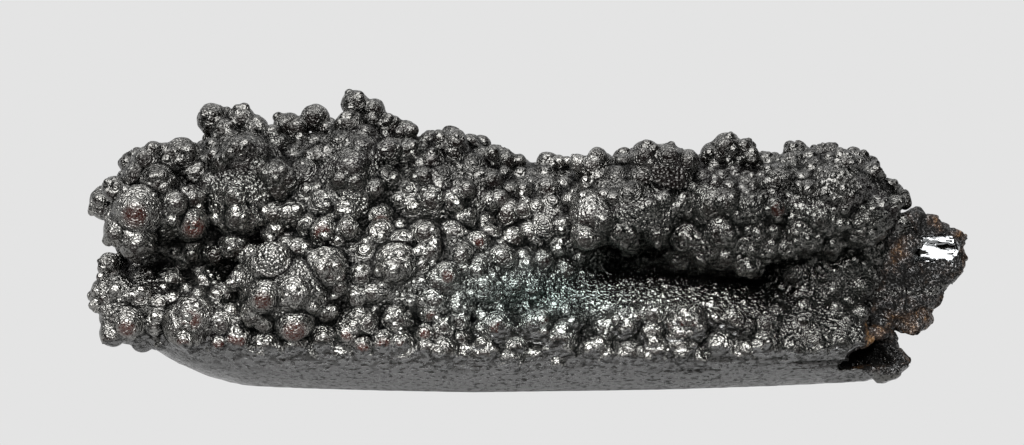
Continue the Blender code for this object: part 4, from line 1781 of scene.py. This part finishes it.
    def seat_crust(self, rough: BMesh) -> None:
        """Seats the globules on the rough form, those read off the front before the scattered ones.

        Args:
            rough: The rough form, in millimetres.
        """
        form = BVHTree.FromBMesh(rough)
        crust = self.crust
        crust.seat_front(form, self.sight, crust.low, crust.low_depth)
        crust.seat_front(form, self.sight, crust.swells, crust.swell_depth)
        crust.seat_front(form, self.sight, crust.large, crust.seat_depth)
        crust.scatter(form, self.sight)
        crust.seat_front(form, self.sight, crust.small, crust.small_depth)
        log.info("seated %d globules", len(crust.globules))

    def grow_grains(self, core: Mesh) -> None:
        """Sprinkles the grains over a coarse skin of the core with its globules.

        Args:
            core: The core, in metres.
        """
        balls = self.crust.balls(self.stretches[0].left, self.stretches[-1].right)
        growth = self.grown_together([core.copy(), balls], self.growth_voxel)
        self.crust.sprinkle(growth, self.sight)
        bpy.data.meshes.remove(growth)
        log.info("and with its grains %d", len(self.crust.globules))

    def trimmed(self, stretch: Stretch, skin: Mesh) -> Object:
        """Cuts a dressed skin to its stretch and level with the foot, and makes the piece of it.

        Args:
            stretch: The stretch.
            skin: Its dressed skin, which is gone afterwards.

        Returns:
            The piece.
        """
        bm = bmesh.new()
        bm.from_mesh(skin)
        bpy.data.meshes.remove(skin)
        self.cut_ends(bm, stretch.left, stretch.right)
        self.cut_flat(bm, Vector((0, 0, 0)), Vector((0, 0, -1)))
        return new_object(stretch.name, mesh_from(stretch.name, bm))

    def pieces(self) -> Iterator[Object]:
        """Builds the specimen and yields its stretches from left to right.

        Returns:
            The pieces, one by one.
        """
        noise.seed_set(SEED)
        rough = self.rough_form()
        self.seat_crust(rough)
        core = self.core(rough)
        self.grow_grains(core)
        finishes = (BotryoidalGoethite(), SmoothGoethite(), BrokenGoethite(), MirrorGoethite())
        materials = [finish.material() for finish in finishes]
        for stretch in self.stretches:
            skin = self.skin_of(stretch, core)
            self.dressed(skin)
            piece = self.trimmed(stretch, skin)
            for material in materials:
                piece.data.materials.append(material)
            yield piece
        bpy.data.meshes.remove(core)


@dataclass(frozen=True)
class Softbox:
    """A rectangular light: its name, middle, size and brightness; it faces the specimen."""

    name: str
    middle: Triple
    size: Pair
    radiance: float


@dataclass
class Studio:
    """The pale floor, the soft lights over it, the dark room behind the camera, and the camera.

    Its own sizes are in metres.
    """

    sight: Sight = field(default_factory=Sight)
    floor_colour: str = "#e4e4e4"
    floor_half: float = 6.0
    room: float = 0.06
    # what only reflections show: the dark floor past the sheet's end, and the sheet risen behind
    sheet_ends: float = 0.15
    dark_floor: str = "#0c0c0c"
    dark_floor_lift: float = 0.0001
    risen_sheet: str = "#c8c8c8"
    risen_middle: Triple = (0.0, 0.8, 0.45)
    risen_size: Pair = (2.6, 0.9)
    softboxes: tuple[Softbox, ...] = (
        Softbox("key", (-0.14, -0.38, 0.48), (0.95, 0.6), 7.0),
        Softbox("rear", (0.0, 0.22, 0.7), (0.9, 0.46), 2.2),
    )

    def floor(self) -> Object:
        """Makes the floor, which glows evenly, so that it stays as pale as in the photograph.

        Returns:
            The floor.
        """
        bm = bmesh.new()
        bmesh.ops.create_grid(bm, x_segments=1, y_segments=1, size=self.floor_half)
        floor = new_object("floor", mesh_from("floor", bm))
        floor.data.materials.append(glow("white_sweep", self.floor_colour))
        return floor

    def card(self, name: str, colour: str, place: Matrix, width: float, height: float) -> Object:
        """Adds an evenly glowing card that shows only in reflections.

        Args:
            name: Its name.
            colour: Its sRGB hex colour.
            place: Where its middle goes and how it is turned; unturned it lies flat.
            width: Its size along its own X in metres.
            height: Its size along its own Y in metres.

        Returns:
            The card.
        """
        bm = bmesh.new()
        size = Matrix.Diagonal((width / 2, height / 2, 1.0, 1.0))
        bmesh.ops.create_grid(bm, x_segments=1, y_segments=1, size=1.0, matrix=place @ size)
        card = new_object(name, mesh_from(name, bm))
        card.data.materials.append(glow(name, colour))
        card.visible_camera = card.visible_diffuse = card.visible_shadow = False
        return card

    def surroundings(self) -> list[Object]:
        """Adds what the specimen mirrors beside the floor.

        In the photograph the white sheet ends a little in front of the specimen, so a globule mirrors the
        white only at its lower rim and the dark room above it; behind the specimen the sheet rises.
        """
        in_front = Matrix.Translation((0, -self.sheet_ends - self.floor_half / 2, self.dark_floor_lift))
        behind = Matrix.Translation(self.risen_middle) @ Matrix.Rotation(math.radians(90), 4, "X")
        return [
            self.card("dark_floor", self.dark_floor, in_front, 2 * self.floor_half, self.floor_half),
            self.card("risen_sheet", self.risen_sheet, behind, *self.risen_size),
        ]

    def lights(self) -> list[Object]:
        """Hangs the softboxes.

        Returns:
            The lights.
        """
        made = []
        for box in self.softboxes:
            lamp = bpy.data.lights.new(box.name, "AREA")
            lamp.shape = "RECTANGLE"
            lamp.size, lamp.size_y = box.size
            lamp.energy = box.radiance * math.pi * box.size[0] * box.size[1]
            light = new_object(box.name, lamp)
            light.location = box.middle
            light.rotation_euler = (-Vector(box.middle)).to_track_quat("-Z", "Y").to_euler()
            light.visible_camera = False
            made.append(light)
        return made

    def world(self) -> None:
        """Fills the room: dim at the sides, and as pale as the floor where the camera looks past it."""
        world = bpy.data.worlds.new("studio")
        world.use_nodes = True
        tree = world.node_tree
        path = add_node(tree, "LightPath", {}, {}).outputs["Is Camera Ray"]
        mixed = add_node(tree, "Mix", {"data_type": "RGBA"}, {
            0: path, 6: (self.room, self.room, self.room, 1.0), 7: linear(self.floor_colour)})
        tree.links.new(mixed.outputs[2], tree.nodes["Background"].inputs["Color"])
        bpy.context.scene.world = world

    def camera(self) -> Object:
        """Sets up the camera at the photograph's eye.

        Returns:
            The camera.
        """
        data = bpy.data.cameras.new("camera")
        data.lens = data.sensor_width * self.sight.distance / self.sight.picture_width
        camera = new_object("camera", data)
        camera.location = (self.sight.eye() + SETBACK) * MM
        camera.rotation_euler = (math.pi / 2 - self.sight.down, 0, 0)
        bpy.context.scene.camera = camera
        return camera


def main() -> None:
    """Builds the studio and the specimen, and reports each piece."""
    logging.basicConfig(level=logging.INFO, format="%(message)s")
    bpy.context.scene.view_settings.view_transform = "Standard"
    studio = Studio()
    studio.floor()
    studio.surroundings()
    studio.lights()
    studio.world()
    studio.camera()
    total = 0
    for piece in Specimen().pieces():
        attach(piece, "root")
        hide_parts("goethite")
        piece.data.calc_loop_triangles()
        total += len(piece.data.loop_triangles)
        log.info("%s: %d triangles", piece.name, len(piece.data.loop_triangles))
    log.info("in all: %d triangles", total)


if __name__ == "__main__":
    main()
